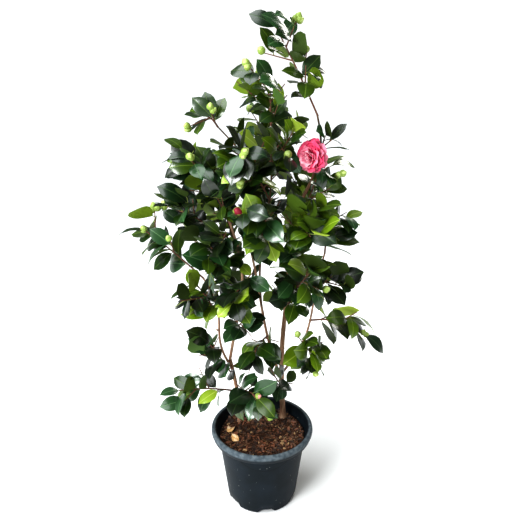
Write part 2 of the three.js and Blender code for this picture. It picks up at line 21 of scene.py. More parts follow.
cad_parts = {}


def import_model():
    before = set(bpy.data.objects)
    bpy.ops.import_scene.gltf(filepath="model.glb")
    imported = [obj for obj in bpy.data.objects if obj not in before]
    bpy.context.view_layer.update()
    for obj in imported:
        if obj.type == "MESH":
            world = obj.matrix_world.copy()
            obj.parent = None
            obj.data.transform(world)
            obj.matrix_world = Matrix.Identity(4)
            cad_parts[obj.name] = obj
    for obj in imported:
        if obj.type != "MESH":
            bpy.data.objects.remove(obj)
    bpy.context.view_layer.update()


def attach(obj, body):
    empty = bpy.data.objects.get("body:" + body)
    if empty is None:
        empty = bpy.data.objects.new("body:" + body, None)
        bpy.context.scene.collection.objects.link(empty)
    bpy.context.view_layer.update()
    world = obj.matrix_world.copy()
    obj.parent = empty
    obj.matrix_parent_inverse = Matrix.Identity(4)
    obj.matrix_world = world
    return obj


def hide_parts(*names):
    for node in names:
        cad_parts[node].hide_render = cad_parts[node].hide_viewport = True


LOG = logging.getLogger("camellia")
BODY = "root"
Vec = np.ndarray
Point = tuple[float, float, float]
Span = tuple[float, float]
Piece = bpy.types.Object
Material = bpy.types.Material
Tree = bpy.types.NodeTree
Node = bpy.types.Node
Socket = bpy.types.NodeSocket
UP = np.array([0.0, 0.0, 1.0])
STILL = (0.0, 0.0, 0.0)
FULL_TURN = 2.0 * math.pi
UPRIGHT = 0.9  # a direction that rises by more than this is taken as upright
KEPT_EDGE = math.radians(50)  # edges sharper than this stay sharp
RELIEF_LAYERS = (1.0, 2.0, 3)  # how fast the layers of a relief fade and shrink, and their number
CAP_CORNERS = 8  # of a drum's faces, only its flat ends have more corners than this

# ------------------------------------------------------------------ sizes shared with the solids

CLEAR = 0.0003  # gap that the solids keep between neighbours
SOIL_TOP = 0.168
CROWN_TOP = 1.1
CROWN_AXIS = np.array([0.0, 0.03, 0.0])  # the line that the leaves turn away from
LOWEST_LEAF = 0.197  # foliage stays above the pot's rim
LINE_SAMPLES = 6  # stretches that stand for a line where distances to it are tested
TRIES = 6  # turns round the stem that a leaf or a twig tries before it is skipped
FLARE_SHARE = 0.06  # share of a stem's length over which its root flare runs out
SUNK = 0.02  # share of its length by which a leader or the bloom's spur is sunk into its limb


@dataclass(frozen=True)
class LeafRule:
    """How leaves stand on a twig, and how they keep clear of each other."""

    length: float = 0.066
    length_spread: float = 0.18
    small: float = 0.74  # share of its length that a leaf has where the full one finds no room
    width: float = 0.6  # share of the length
    widest: float = 0.48  # where the leaf is widest, as a share of the length
    fold: float = 0.05  # fall of the edges below the midrib, as a share of the length
    spacing: float = 0.015
    bare: float = 0.14  # first share of a twig, with no leaf
    last_at: float = 0.98
    tilt: float = 1.0
    tilt_spread: float = 0.15
    last_tilt: float = 0.3
    droop: float = 0.32
    roll: float = 0.5
    facing: float = 0.8
    root: float = 0.0001
    gap: float = 0.003
    foot: float = 0.12
    end: float = 1.04
    turn: float = math.radians(144)


@dataclass(frozen=True)
class TwigRule:
    """How twigs spread round the leader of a mass."""

    radius: float = 0.0016
    tip_radius: float = 0.0009
    leader_radius: float = 0.0022
    leader_tip_radius: float = 0.0012
    leader_rise: float = 0.004
    first: float = 0.15
    reach: Span = (0.62, 0.95)
    range: float = 0.8
    turn: float = math.radians(137.5)
    stray: float = 0.3
    lean: float = 0.65
    rise: float = 0.2
    shares: tuple[float, ...] = (1.0, 0.75, 0.5)
    space_gap: float = 0.0025
    limb_gap: float = 0.006


@dataclass(frozen=True)
class BudRule:
    """How buds stand at the tips of twigs."""

    length: float = 0.02
    lean: float = 0.5
    tests: Span = (0.5, 1.2)  # shares of its length that have to be free
    more: tuple[float, ...] = (0.3, 0.45, 0.25)  # how often none, one or two more stand beside it
    more_turn: float = 2.4
    more_forward: float = 0.7
    more_rise: float = 0.2
    more_length: float = 0.92  # share of the first one's
    more_sunk: float = 0.004


LEAF = LeafRule()
TWIG = TwigRule()
BUD = BudRule()


@dataclass(frozen=True)
class LimbPlan:
    """Where a stem or bough starts and ends, how it bends, and its radius at both ends."""

    name: str
    end: Point
    bow: Point
    radii: Span
    foot: Span | None = None
    on: str = ""
    at: float = 0.0
    wave: Point = STILL
    flare: float = 0.0


@dataclass(frozen=True)
class MassPlan:
    """The limb that a mass of foliage grows on, where its leader ends, and what it bears."""

    name: str
    on: str
    at: float
    tip: Point
    reach: float
    twigs: int
    buds: int
    seed: int
    rise: float = TWIG.leader_rise
    droop: float = LEAF.droop
    airy: bool = False  # bears only what the first pass of the rule gives it


LIMBS = (
    LimbPlan("left_stem", foot=(-0.056, 0.042), end=(-0.075, 0.03, 0.346), bow=(0.005, 0.0, 0.0),
             radii=(0.0046, 0.0042), flare=0.0026),
    LimbPlan("right_stem", foot=(0.053, 0.058), end=(0.086, 0.022, 0.738), bow=(-0.017, 0.002, 0.0),
             wave=(-0.002, 0.003, 0.0), radii=(0.007, 0.003), flare=0.003),
    LimbPlan("left_leader", on="left_stem", at=1, end=(-0.07, 0.012, 0.688), bow=(0.027, 0.004, 0.0),
             wave=(-0.005, 0.0, 0.0), radii=(0.0036, 0.0023)),
    LimbPlan("left_bough", on="left_stem", at=0.86, end=(-0.128, 0.006, 0.56), bow=(0.002, -0.006, 0.0),
             wave=(-0.01, 0.0, 0.0), radii=(0.003, 0.0019)),
    LimbPlan("centre_bough", on="right_stem", at=0.19, end=(-0.03, 0.04, 0.64), bow=(-0.007, -0.004, 0.0),
             wave=(-0.003, 0.0, 0.0), radii=(0.0038, 0.0022)),
    LimbPlan("centre_leader", on="centre_bough", at=0.55, end=(0.018, 0.03, 0.86),
             bow=(-0.002, -0.012, 0.0), wave=(-0.007, 0.0, 0.0), radii=(0.0026, 0.0018)),
    LimbPlan("upper_left_bough", on="centre_leader", at=0.72, end=(-0.086, -0.006, 0.88),
             bow=(-0.006, -0.006, 0.012), radii=(0.0019, 0.0014)),
    LimbPlan("right_low_bough", on="right_stem", at=0.22, end=(0.136, 0.02, 0.612),
             bow=(0.02, -0.004, 0.0), wave=(0.007, 0.0, 0.0), radii=(0.003, 0.0018)),
    LimbPlan("long_shoot", on="right_stem", at=1, end=(0.11, 0.02, 0.902), bow=(0.02, 0.0, 0.0),
             radii=(0.0027, 0.0019)),
)
YOUNG_LIMBS = ("long_shoot", "upper_left_bough", "centre_leader")  # their bark is darker
MASSES = (
    MassPlan("top_spray", "long_shoot", 1, (0.026, 0.018, 1.062), 0.068, twigs=4, buds=3, seed=21,
             airy=True),
    MassPlan("crest", "centre_leader", 1, (0.016, 0.022, 0.958), 0.096, twigs=6, buds=3, seed=33,
             airy=True),
    MassPlan("shoulder_spray", "long_shoot", 0.5, (0.126, 0.006, 0.862), 0.056, twigs=2, buds=0, seed=741,
             airy=True),
    MassPlan("upper_left_spray", "upper_left_bough", 1, (-0.106, -0.012, 0.9), 0.064, twigs=3, buds=3,
             seed=457, airy=True),
    MassPlan("front_crown", "centre_leader", 0.66, (-0.04, -0.064, 0.842), 0.09, twigs=6, buds=4,
             seed=1183),
    MassPlan("heart_crown", "centre_leader", 0.86, (0.046, -0.018, 0.846), 0.078, twigs=4, buds=2,
             seed=299),
    MassPlan("left_crown", "left_leader", 1, (-0.126, -0.014, 0.808), 0.096, twigs=6, buds=3, seed=221),
    MassPlan("right_crown", "right_stem", 0.86, (0.12, 0.026, 0.792), 0.078, twigs=5, buds=2, seed=831),
    MassPlan("back_crown", "centre_leader", 0.78, (0.02, 0.118, 0.85), 0.094, twigs=4, buds=2, seed=653),
    MassPlan("left_side", "left_leader", 0.84, (-0.162, -0.02, 0.716), 0.086, twigs=5, buds=2, seed=597),
    MassPlan("left_spray", "left_bough", 1, (-0.238, -0.028, 0.676), 0.074, twigs=2, buds=3, seed=311,
             droop=0.5, airy=True),
    MassPlan("left_middle", "left_leader", 0.66, (-0.104, -0.06, 0.652), 0.08, twigs=5, buds=0, seed=307),
    MassPlan("left_back", "left_leader", 0.74, (-0.1, 0.112, 0.72), 0.092, twigs=4, buds=1, seed=1073),
    MassPlan("centre_front", "centre_leader", 0.36, (0.004, -0.07, 0.716), 0.084, twigs=5, buds=2,
             seed=497),
    MassPlan("centre_back", "centre_bough", 1, (-0.006, 0.13, 0.69), 0.088, twigs=4, buds=0, seed=1291),
    MassPlan("right_front", "right_stem", 0.74, (0.092, -0.056, 0.706), 0.082, twigs=4, buds=1, seed=349),
    MassPlan("right_back", "right_stem", 0.8, (0.098, 0.13, 0.716), 0.09, twigs=4, buds=0, seed=1481),
    MassPlan("right_side", "right_low_bough", 1, (0.138, 0.004, 0.69), 0.078, twigs=4, buds=0, seed=1053),
    MassPlan("right_middle", "right_stem", 0.56, (0.098, -0.046, 0.59), 0.078, twigs=4, buds=2, seed=437),
    MassPlan("left_low", "left_bough", 0.6, (-0.134, -0.034, 0.556), 0.078, twigs=5, buds=0, seed=433),
    MassPlan("inner_low", "left_leader", 0.42, (-0.054, -0.054, 0.552), 0.08, twigs=4, buds=0, seed=701),
    MassPlan("right_low", "right_low_bough", 0.7, (0.15, -0.01, 0.57), 0.072, twigs=4, buds=0, seed=1061),
    MassPlan("right_low_back", "right_stem", 0.48, (0.086, 0.122, 0.52), 0.082, twigs=4, buds=0, seed=523),
    MassPlan("low_back", "left_leader", 0.3, (-0.07, 0.112, 0.508), 0.084, twigs=4, buds=0, seed=497),
    MassPlan("drooping_spray", "right_low_bough", 0.48, (0.228, 0.0, 0.426), 0.072, twigs=2, buds=3,
             seed=229, rise=0.016, droop=0.6, airy=True),
    MassPlan("low_left", "left_stem", 0.7, (-0.118, -0.008, 0.408), 0.07, twigs=4, buds=0, seed=901,
             airy=True),
    MassPlan("low_inner", "left_leader", 0.2, (-0.044, -0.028, 0.47), 0.062, twigs=3, buds=0, seed=587,
             airy=True),
    MassPlan("low_centre", "centre_bough", 0.34, (-0.016, -0.034, 0.404), 0.064, twigs=3, buds=0,
             seed=1013, airy=True),
    MassPlan("low_right", "right_low_bough", 0.26, (0.108, -0.018, 0.392), 0.07, twigs=3, buds=2, seed=947),
    MassPlan("bottom_left_spray", "left_stem", 0.5, (-0.19, -0.028, 0.3), 0.062, twigs=3, buds=0, seed=909,
             rise=0.006, droop=0.4, airy=True),
    MassPlan("bottom_front", "left_stem", 0.42, (-0.014, -0.04, 0.292), 0.07, twigs=3, buds=2, seed=721,
             rise=0.014, airy=True),
    MassPlan("bottom_right", "right_stem", 0.16, (0.034, 0.018, 0.296), 0.05, twigs=2, buds=0, seed=883,
             airy=True),
)

# ------------------------------------------------------------------ small tools


def unit(vector: Vec) -> Vec:
    """A vector's direction."""
    return vector / np.linalg.norm(vector)


def aimed(x: float, y: float, z: float) -> Vec:
    """The direction that three numbers give."""
    return unit(np.array([x, y, z]))


def dots(a: Vec, b: Vec) -> Vec:
    """The dot products of two rows of vectors."""
    return np.einsum("...i,...i->...", a, b)


def across(direction: Vec) -> tuple[Vec, Vec]:
    """Two directions across a given one.

    Args:
        direction: The given direction.

    Returns:
        Two directions straight across it and across each other.
    """
    up = np.array([1.0, 0.0, 0.0]) if abs(direction[2]) > UPRIGHT else UP
    side = unit(np.cross(up, direction))
    return side, unit(np.cross(direction, side))


def spoke(tangent: Vec, turn: float) -> Vec:
    """A direction at a given turn round a stem, straight across it."""
    u, v = across(tangent)
    return u * math.cos(turn) + v * math.sin(turn)


def turned(vector: Vec, axis: Vec, angle: float) -> Vec:
    """A vector turned about an axis.

    Args:
        vector: The vector.
        axis: The axis, of length 1.
        angle: How far it turns.

    Returns:
        The turned vector.
    """
    return (
        vector * math.cos(angle)
        + np.cross(axis, vector) * math.sin(angle)
        + axis * dots(axis, vector) * (1.0 - math.cos(angle))
    )


class Dice:
    """The same row of numbers, each from 0 to 1, for the same seed."""

    FACTOR = 16807
    SPAN = 2147483647

    def __init__(self, seed: int) -> None:
        """Starts the row at a seed and drops its first number."""
        self.state = seed
        self.roll()

    def roll(self) -> float:
        """The next number of the row."""
        self.state = self.state * self.FACTOR % self.SPAN
        return self.state / self.SPAN

    def between(self, low: float, high: float) -> float:
        """The next number, spread between two values."""
        return low + (high - low) * self.roll()

    def either_side(self, most: float = 1.0) -> float:
        """The next number, spread from the negative of a value to the value."""
        return self.between(-most, most)

    def pick(self, weights: tuple[float, ...]) -> int:
        """Picks one of several choices.

        Args:
            weights: How likely each choice is.

        Returns:
            The place of the choice.
        """
        left = self.roll() * sum(weights)
        for place, weight in enumerate(weights):
            left -= weight
            if left < 0:
                return place
        return len(weights) - 1


class BentLine:
    """A middle line: a straight run, bowed to one side and waved about it."""

    def __init__(self, start: Vec, end: Vec, bow: Vec | Point = STILL, wave: Vec | Point = STILL) -> None:
        """Lays the line out.

        Args:
            start: Where it starts.
            end: Where it ends.
            bow: How far its middle bows, and which way.
            wave: How far its quarters swing, and which way.
        """
        self.start = np.asarray(start, float)
        self.run = np.asarray(end, float) - self.start
        self.bow = np.asarray(bow, float)
        self.wave = np.asarray(wave, float)

    def point(self, t: float | Vec) -> Vec:
        """The place at a share of the length, or a row of places.

        Args:
            t: The share, or a row of them.

        Returns:
            The place, or one row for each share.
        """
        t = np.asarray(t, float)[..., None]
        bend = self.bow * np.sin(math.pi * t) + self.wave * np.sin(FULL_TURN * t)
        return self.start + self.run * t + bend

    def tangent(self, t: float) -> Vec:
        """The direction at a share t of the length."""
        bend = self.bow * math.pi * math.cos(math.pi * t)
        return unit(self.run + bend + self.wave * FULL_TURN * math.cos(FULL_TURN * t))

    def length(self) -> float:
        """The length of the straight run."""
        return float(np.linalg.norm(self.run))

    def samples(self) -> Vec:
        """The corners of the straight stretches that stand for the line."""
        return self.point(np.arange(LINE_SAMPLES + 1) / LINE_SAMPLES)


# ------------------------------------------------------------------ meshes


def deselect_all() -> None:
    """Goes to object mode and deselects everything, so that an operator acts on one new piece."""
    if bpy.context.mode != "OBJECT":
        bpy.ops.object.mode_set(mode="OBJECT")
    bpy.ops.object.select_all(action="DESELECT")


def make_active(piece: Piece) -> None:
    """Selects one piece alone and makes it the one that operators act on.

    Args:
        piece: The piece.
    """
    deselect_all()
    piece.select_set(True)
    bpy.context.view_layer.objects.active = piece


@contextmanager
def editing(piece: Piece, elements: str = "FACE") -> Iterator[None]:
    """Opens a piece for the edit tools, with all of it selected, and closes it again.

    Args:
        piece: The piece.
        elements: What the tools select: EDGE or FACE.

    Yields:
        Once, while the piece is open.
    """
    make_active(piece)
    bpy.ops.object.mode_set(mode="EDIT")
    bpy.ops.mesh.select_mode(type=elements)
    bpy.ops.mesh.select_all(action="SELECT")
    yield
    bpy.ops.object.mode_set(mode="OBJECT")


def select_long_edges(piece: Piece) -> None:
    """Selects the edges that run up an open drum of height 1, and nothing else.

    Args:
        piece: The drum, in edit mode.
    """
    bpy.ops.mesh.select_all(action="DESELECT")
    shape = bmesh.from_edit_mesh(piece.data)
    for edge in shape.edges:
        low, high = (corner.co.z for corner in edge.verts)
        edge.select = abs(low - high) > 0.5
    bmesh.update_edit_mesh(piece.data)


def select_cap(piece: Piece, up: bool) -> None:
    """Selects the flat end of an open drum that looks up or down, and nothing else.

    Args:
        piece: The drum, in edit mode.
        up: True for the end that looks up.
    """
    bpy.ops.mesh.select_all(action="DESELECT")
    shape = bmesh.from_edit_mesh(piece.data)
    for face in shape.faces:
        if len(face.verts) > CAP_CORNERS and (face.normal.z > 0.0) == up:
            face.select = True
    bmesh.update_edit_mesh(piece.data)


def apply_modifier(piece: Piece, kind: str, **settings: float) -> None:
    """Adds a modifier and applies it.

    Args:
        piece: The piece.
        kind: The modifier's kind.
        settings: Its settings, by name.
    """
    make_active(piece)
    modifier = piece.modifiers.new(kind.lower(), kind)
    for name, value in settings.items():
        setattr(modifier, name, value)
    bpy.ops.object.modifier_apply(modifier=modifier.name)


def reshape(piece: Piece, place: Callable[[Vector], Vector | Vec | Point]) -> None:
    """Moves each corner of a piece.

    Args:
        piece: The piece.
        place: Gives the new place of a corner.
    """
    for vertex in piece.data.vertices:
        vertex.co = place(vertex.co.copy())
    piece.data.update()


def shaped_grid(columns: int, rows: int, place: Callable[[Vector], Point]) -> Piece:
    """Adds a flat grid of size 1 and moves each corner to its place on the finished form.

    Args:
        columns: How many cells it has across, along x.
        rows: How many cells it has along y.
        place: Gives the new place of a corner.

    Returns:
        The shaped grid.
    """
    deselect_all()
    bpy.ops.mesh.primitive_grid_add(x_subdivisions=columns, y_subdivisions=rows, size=1.0)
    reshape(bpy.context.object, place)
    return bpy.context.object


def fix_place(piece: Piece, name: str) -> None:
    """Names a new piece and moves its place into its mesh."""
    piece.name = piece.data.name = name
    bpy.ops.object.transform_apply(location=True, rotation=True, scale=True)


def smooth(piece: Piece, angle: float = KEPT_EDGE) -> None:
    """Shades a piece smooth, with edges sharper than an angle kept."""
    make_active(piece)
    bpy.ops.object.shade_smooth_by_angle(angle=angle)


def keep(piece: Piece, slot: str, *nodes: str) -> None:
    """Lets a finished piece ride on the plant, and reports it.

    Args:
        piece: The piece.
        slot: Its slot; not used.
        nodes: The CAD nodes that it stands for.
    """
    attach(piece, BODY)
    if nodes:
        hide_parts(*nodes)
    LOG.info("%s: %d faces", piece.name, len(piece.data.polygons))


@dataclass
class Pattern:
    """A small mesh that is modelled once and then laid out many times in a joined piece."""

    corners: Vec
    faces: list[tuple[int, ...]]
    finishes: list[int]

    @classmethod
    def taken_from(cls, piece: Piece, place: int = 0) -> "Pattern":
        """Reads a modelled piece and removes its object.

        Args:
            piece: The modelled mesh, in its own units.
            place: The material place of all its faces.

        Returns:
            The pattern with the piece's corners, faces and material places.
        """
        mesh = piece.data
        corners = np.array([v.co for v in mesh.vertices])
        faces = [tuple(p.vertices) for p in mesh.polygons]
        bpy.data.objects.remove(piece)
        bpy.data.meshes.remove(mesh)
        return cls(corners, faces, [place] * len(faces))

    @classmethod
    def together(cls, patterns: list["Pattern"]) -> "Pattern":
        """Several patterns as one.

        Args:
            patterns: The patterns, each where it belongs.

        Returns:
            The joined pattern.
        """
        heap = Heap()
        for pattern in patterns:
            heap.add(pattern.corners, pattern.faces, pattern.finishes)
        return cls(np.concatenate(heap.corners), heap.faces, heap.finishes)


class Heap:
    """Corners and faces that are gathered from many small things into one joined mesh."""

    def __init__(self) -> None:
        """Starts empty."""
        self.corners: list[Vec] = []
        self.faces: list[tuple[int, ...]] = []
        self.finishes: list[int] = []
        self.count = 0

    def add(self, corners: Vec, faces: list[tuple[int, ...]], finishes: list[int]) -> None:
        """Adds one small mesh.

        Args:
            corners: Its corners.
            faces: Its faces, as numbers of its own corners.
            finishes: The material place of each face.
        """
        base = self.count
        self.corners.append(corners)
        self.faces.extend(tuple(base + c for c in face) for face in faces)
        self.finishes.extend(finishes)
        self.count += len(corners)

    def add_tube(self, middles: Vec, radii: Vec, sides: int, finish: int = 0) -> None:
        """Adds a round tube with closed ends along a row of points.

        Args:
            middles: The points of the tube's middle line.
            radii: Its radius at each of them.
            sides: How many sides it has.
            finish: The material place of all its faces.
        """
        steps = np.gradient(middles, axis=0)
        u, _ = across(unit(steps[0]))
        angles = np.arange(sides) * FULL_TURN / sides
        rings = []
        for middle, step, radius in zip(middles, steps, radii):
            tangent = unit(step)
            u = unit(u - tangent * dots(u, tangent))
            v = np.cross(tangent, u)
            rings.append(middle + radius * (np.outer(np.cos(angles), u) + np.outer(np.sin(angles), v)))
        faces = [tuple(reversed(range(sides)))]
        for i in range(len(middles) - 1):
            low, high = i * sides, (i + 1) * sides
            for k in range(sides):
                nxt = (k + 1) % sides
                faces.append((low + k, low + nxt, high + nxt, high + k))
        last = (len(middles) - 1) * sides
        faces.append(tuple(range(last, last + sides)))
        self.add(np.concatenate(rings), faces, [finish] * len(faces))

    def build(self, name: str, finishes: list[Material], slot: str, *nodes: str,
              angle: float = KEPT_EDGE) -> None:
        """Makes the joined piece, with its place in its mesh, and keeps it.

        Args:
            name: The piece's name.
            finishes: Its materials, in the order of their places.
            slot: Its slot.
            nodes: The CAD nodes that it stands for.
            angle: Edges sharper than this stay sharp.
        """
        mesh = bpy.data.meshes.new(name)
        mesh.from_pydata(np.concatenate(self.corners).tolist(), [], self.faces)
        for finish in finishes:
            mesh.materials.append(finish)
        mesh.polygons.foreach_set("material_index", np.array(self.finishes, np.int32))
        mesh.update()
        piece = bpy.data.objects.new(name, mesh)
        bpy.context.scene.collection.objects.link(piece)
        smooth(piece, angle)
        keep(piece, slot, *nodes)


# ------------------------------------------------------------------ finishes


def linear(hex_colour: str) -> tuple[float, float, float, float]:
    """A colour in the linear values that shaders take.

    Args:
        hex_colour: The colour, written as #rrggbb.

    Returns:
        Red, green, blue and a full alpha.
    """
    values = [int(hex_colour[i : i + 2], 16) / 255 for i in (1, 3, 5)]
    red, green, blue = (v / 12.92 if v <= 0.04045 else ((v + 0.055) / 1.055) ** 2.4 for v in values)
    return red, green, blue, 1.0


def feed(tree: Tree, node: Node, inputs: dict[str | int, object]) -> None:
    """Links sockets to a node's inputs, or gives them values.

    Args:
        tree: The shader tree.
        node: The node.
        inputs: What goes into each input, by its name or number: a socket or a value.
    """
    for name, given in inputs.items():
        if isinstance(given, Socket):
            tree.links.new(given, node.inputs[name])
        else:
            node.inputs[name].default_value = given


def add_node(tree: Tree, kind: str, inputs: dict[str | int, object], **settings: object) -> Node:
    """Adds a node to a shader tree.

    Args:
        tree: The shader tree.
        kind: The node's kind, such as Mix.
        inputs: What goes into its inputs, by their names or numbers.
        settings: Its other settings, by name.

    Returns:
        The new node.
    """
    node = tree.nodes.new(f"ShaderNode{kind}")
    for name, value in settings.items():
        setattr(node, name, value)
    feed(tree, node, inputs)
    return node


def worked_out(tree: Tree, operation: str, *values: Socket | float) -> Socket:
    """The result of one sum on sockets and numbers."""
    return add_node(tree, "Math", dict(enumerate(values)), operation=operation).outputs["Value"]


def object_place(tree: Tree) -> Socket:
    """The socket of the Object coordinates."""
    return add_node(tree, "TexCoord", {}).outputs["Object"]


class Effect(Enum):
    """The effects that several materials share, each one shader node group."""

    UNEVEN_TONE = "uneven_tone"
    GRAIN = "grain"
    SPECKS = "specks"


class EffectKit:
    """Builds each shared effect once and places it in materials."""

    PATCH_DETAIL = 3.0
    PATCH_EDGE = (0.36, 0.64)  # the noise between which a patch goes over from one tone to the other
    GRAIN_DETAIL = 4.0
    SPECKS_FROM = 0.72  # only cells with a random number above this hold a speck

    def __init__(self) -> None:
        """Builds the node groups."""
        self.groups = {
            Effect.UNEVEN_TONE: self.uneven_tone(),
            Effect.GRAIN: self.grain(),
            Effect.SPECKS: self.specks(),
        }

    def new_group(self, effect: Effect, inputs: dict[str, str], outputs: dict[str, str]
                  ) -> tuple[Tree, Node, Node]:
        """Makes an empty group with named sockets.

        Args:
            effect: The effect that the group gives.
            inputs: The input sockets' names and types.
            outputs: The output sockets' names and types.

        Returns:
            The group, and its input and output nodes.
        """
        group = bpy.data.node_groups.new(effect.value, "ShaderNodeTree")
        for direction, sockets in (("INPUT", inputs), ("OUTPUT", outputs)):
            for name, kind in sockets.items():
                group.interface.new_socket(name=name, in_out=direction, socket_type=f"NodeSocket{kind}")
        return group, group.nodes.new("NodeGroupInput"), group.nodes.new("NodeGroupOutput")

    def uneven_tone(self) -> Tree:
        """Builds patches of a second tone over a first one.

        Returns:
            The group.
        """
        group, given, result = self.new_group(
            Effect.UNEVEN_TONE,
            {"Vector": "Vector", "Tone": "Color", "Other": "Color", "Scale": "Float", "Amount": "Float"},
            {"Color": "Color", "Mask": "Float"},
        )
        low, high = self.PATCH_EDGE
        texture = add_node(group, "TexNoise", {
            "Vector": given.outputs["Vector"],
            "Scale": given.outputs["Scale"],
            "Detail": self.PATCH_DETAIL,
        })
        spread = add_node(group, "MapRange", {
            "Value": texture.outputs["Fac"],
            "From Min": low,
            "From Max": high,
            "To Max": given.outputs["Amount"],
        }).outputs["Result"]
        mix = add_node(group, "Mix", {
            "Factor": spread,
            "A": given.outputs["Tone"],
            "B": given.outputs["Other"],
        }, data_type="RGBA")
        feed(group, result, {"Color": mix.outputs["Result"], "Mask": spread})
        return group

    def grain(self) -> Tree:
        """Builds a fine uneven height, for a bump.

        Returns:
            The group.
        """
        group, given, result = self.new_group(
            Effect.GRAIN, {"Vector": "Vector", "Scale": "Float", "Rough": "Float"}, {"Height": "Float"}
        )
        texture = add_node(group, "TexNoise", {
            "Vector": given.outputs["Vector"],
            "Scale": given.outputs["Scale"],
            "Detail": self.GRAIN_DETAIL,
            "Roughness": given.outputs["Rough"],
        })
        feed(group, result, {"Height": texture.outputs["Fac"]})
        return group

    def specks(self) -> Tree:
        """Builds small loose specks, such as grit.

        Returns:
            The group.
        """
        group, given, result = self.new_group(
            Effect.SPECKS, {"Vector": "Vector", "Scale": "Float", "Size": "Float"}, {"Mask": "Float"}
        )
        cells = add_node(group, "TexVoronoi", {
            "Vector": given.outputs["Vector"],
            "Scale": given.outputs["Scale"],
        })
        near = worked_out(group, "LESS_THAN", cells.outputs["Distance"], given.outputs["Size"])
        few = worked_out(group, "GREATER_THAN", cells.outputs["Color"], self.SPECKS_FROM)
        feed(group, result, {"Mask": worked_out(group, "MULTIPLY", near, few)})
        return group

    def place(self, tree: Tree, effect: Effect, **inputs: object) -> Node:
        """The node of an effect that is placed in a material, with its inputs given by name."""
        named = {name.capitalize(): given for name, given in inputs.items()}
        return add_node(tree, "Group", named, node_tree=self.groups[effect])


@dataclass(frozen=True)
class Finish:
    """One surface: its two tones and their patches, its gloss, and its fine grain."""

    name: str
    tone: str
    other: str = ""  # none for a plain colour
    patch: float = 0.03  # size of a patch of the other tone
    amount: float = 0.6  # how far a patch goes over to the other tone
    roughness: float = 0.5
    specular: float = 0.5
    grain: float = 0.0  # height of the grain
    grain_size: float = 0.002
    grain_rough: float = 0.6
    stretch: float = 1.0  # how much longer than wide a patch and the grain are, up the piece
    coat: float = 0.0
    coat_roughness: float = 0.2
    subsurface: float = 0.0
    subsurface_depth: float = 0.004

    def material(self, kit: EffectKit) -> Material:
        """Makes the material.

        Args:
            kit: The shared effects.

        Returns:
            The material, on Object coordinates.
        """
        made = bpy.data.materials.new(self.name)
        made.use_nodes = True
        tree = made.node_tree
        shader = tree.nodes["Principled BSDF"]
        feed(tree, shader, {
            "Base Color": linear(self.tone),
            "Roughness": self.roughness,
            "Specular IOR Level": self.specular,
            "Coat Weight": self.coat,
            "Coat Roughness": self.coat_roughness,
        })
        if self.subsurface:
            feed(tree, shader, {
                "Subsurface Weight": self.subsurface,
                "Subsurface Scale": self.subsurface_depth,
            })
        if self.other:
            uneven = kit.place(
                tree, Effect.UNEVEN_TONE, vector=self.coordinates(tree), tone=linear(self.tone),
                other=linear(self.other), scale=1.0 / self.patch, amount=self.amount,
            )
            feed(tree, shader, {"Base Color": self.dressed(tree, kit, uneven.outputs["Color"])})
        if self.grain:
            grain = kit.place(tree, Effect.GRAIN, vector=self.coordinates(tree),
                              scale=1.0 / self.grain_size, rough=self.grain_rough)
            bump = add_node(tree, "Bump", {"Distance": self.grain, "Height": grain.outputs["Height"]})
            feed(tree, shader, {"Normal": bump.outputs["Normal"]})
        return made

    def coordinates(self, tree: Tree) -> Socket:
        """Object coordinates, drawn out up the piece by the stretch."""
        scale = (1.0, 1.0, 1.0 / self.stretch)
        return add_node(tree, "Mapping", {"Vector": object_place(tree), "Scale": scale}).outputs["Vector"]

    def dressed(self, tree: Tree, kit: EffectKit, colour: Socket) -> Socket:
        """The colour as it is, for a finish with nothing laid over it."""
        return colour


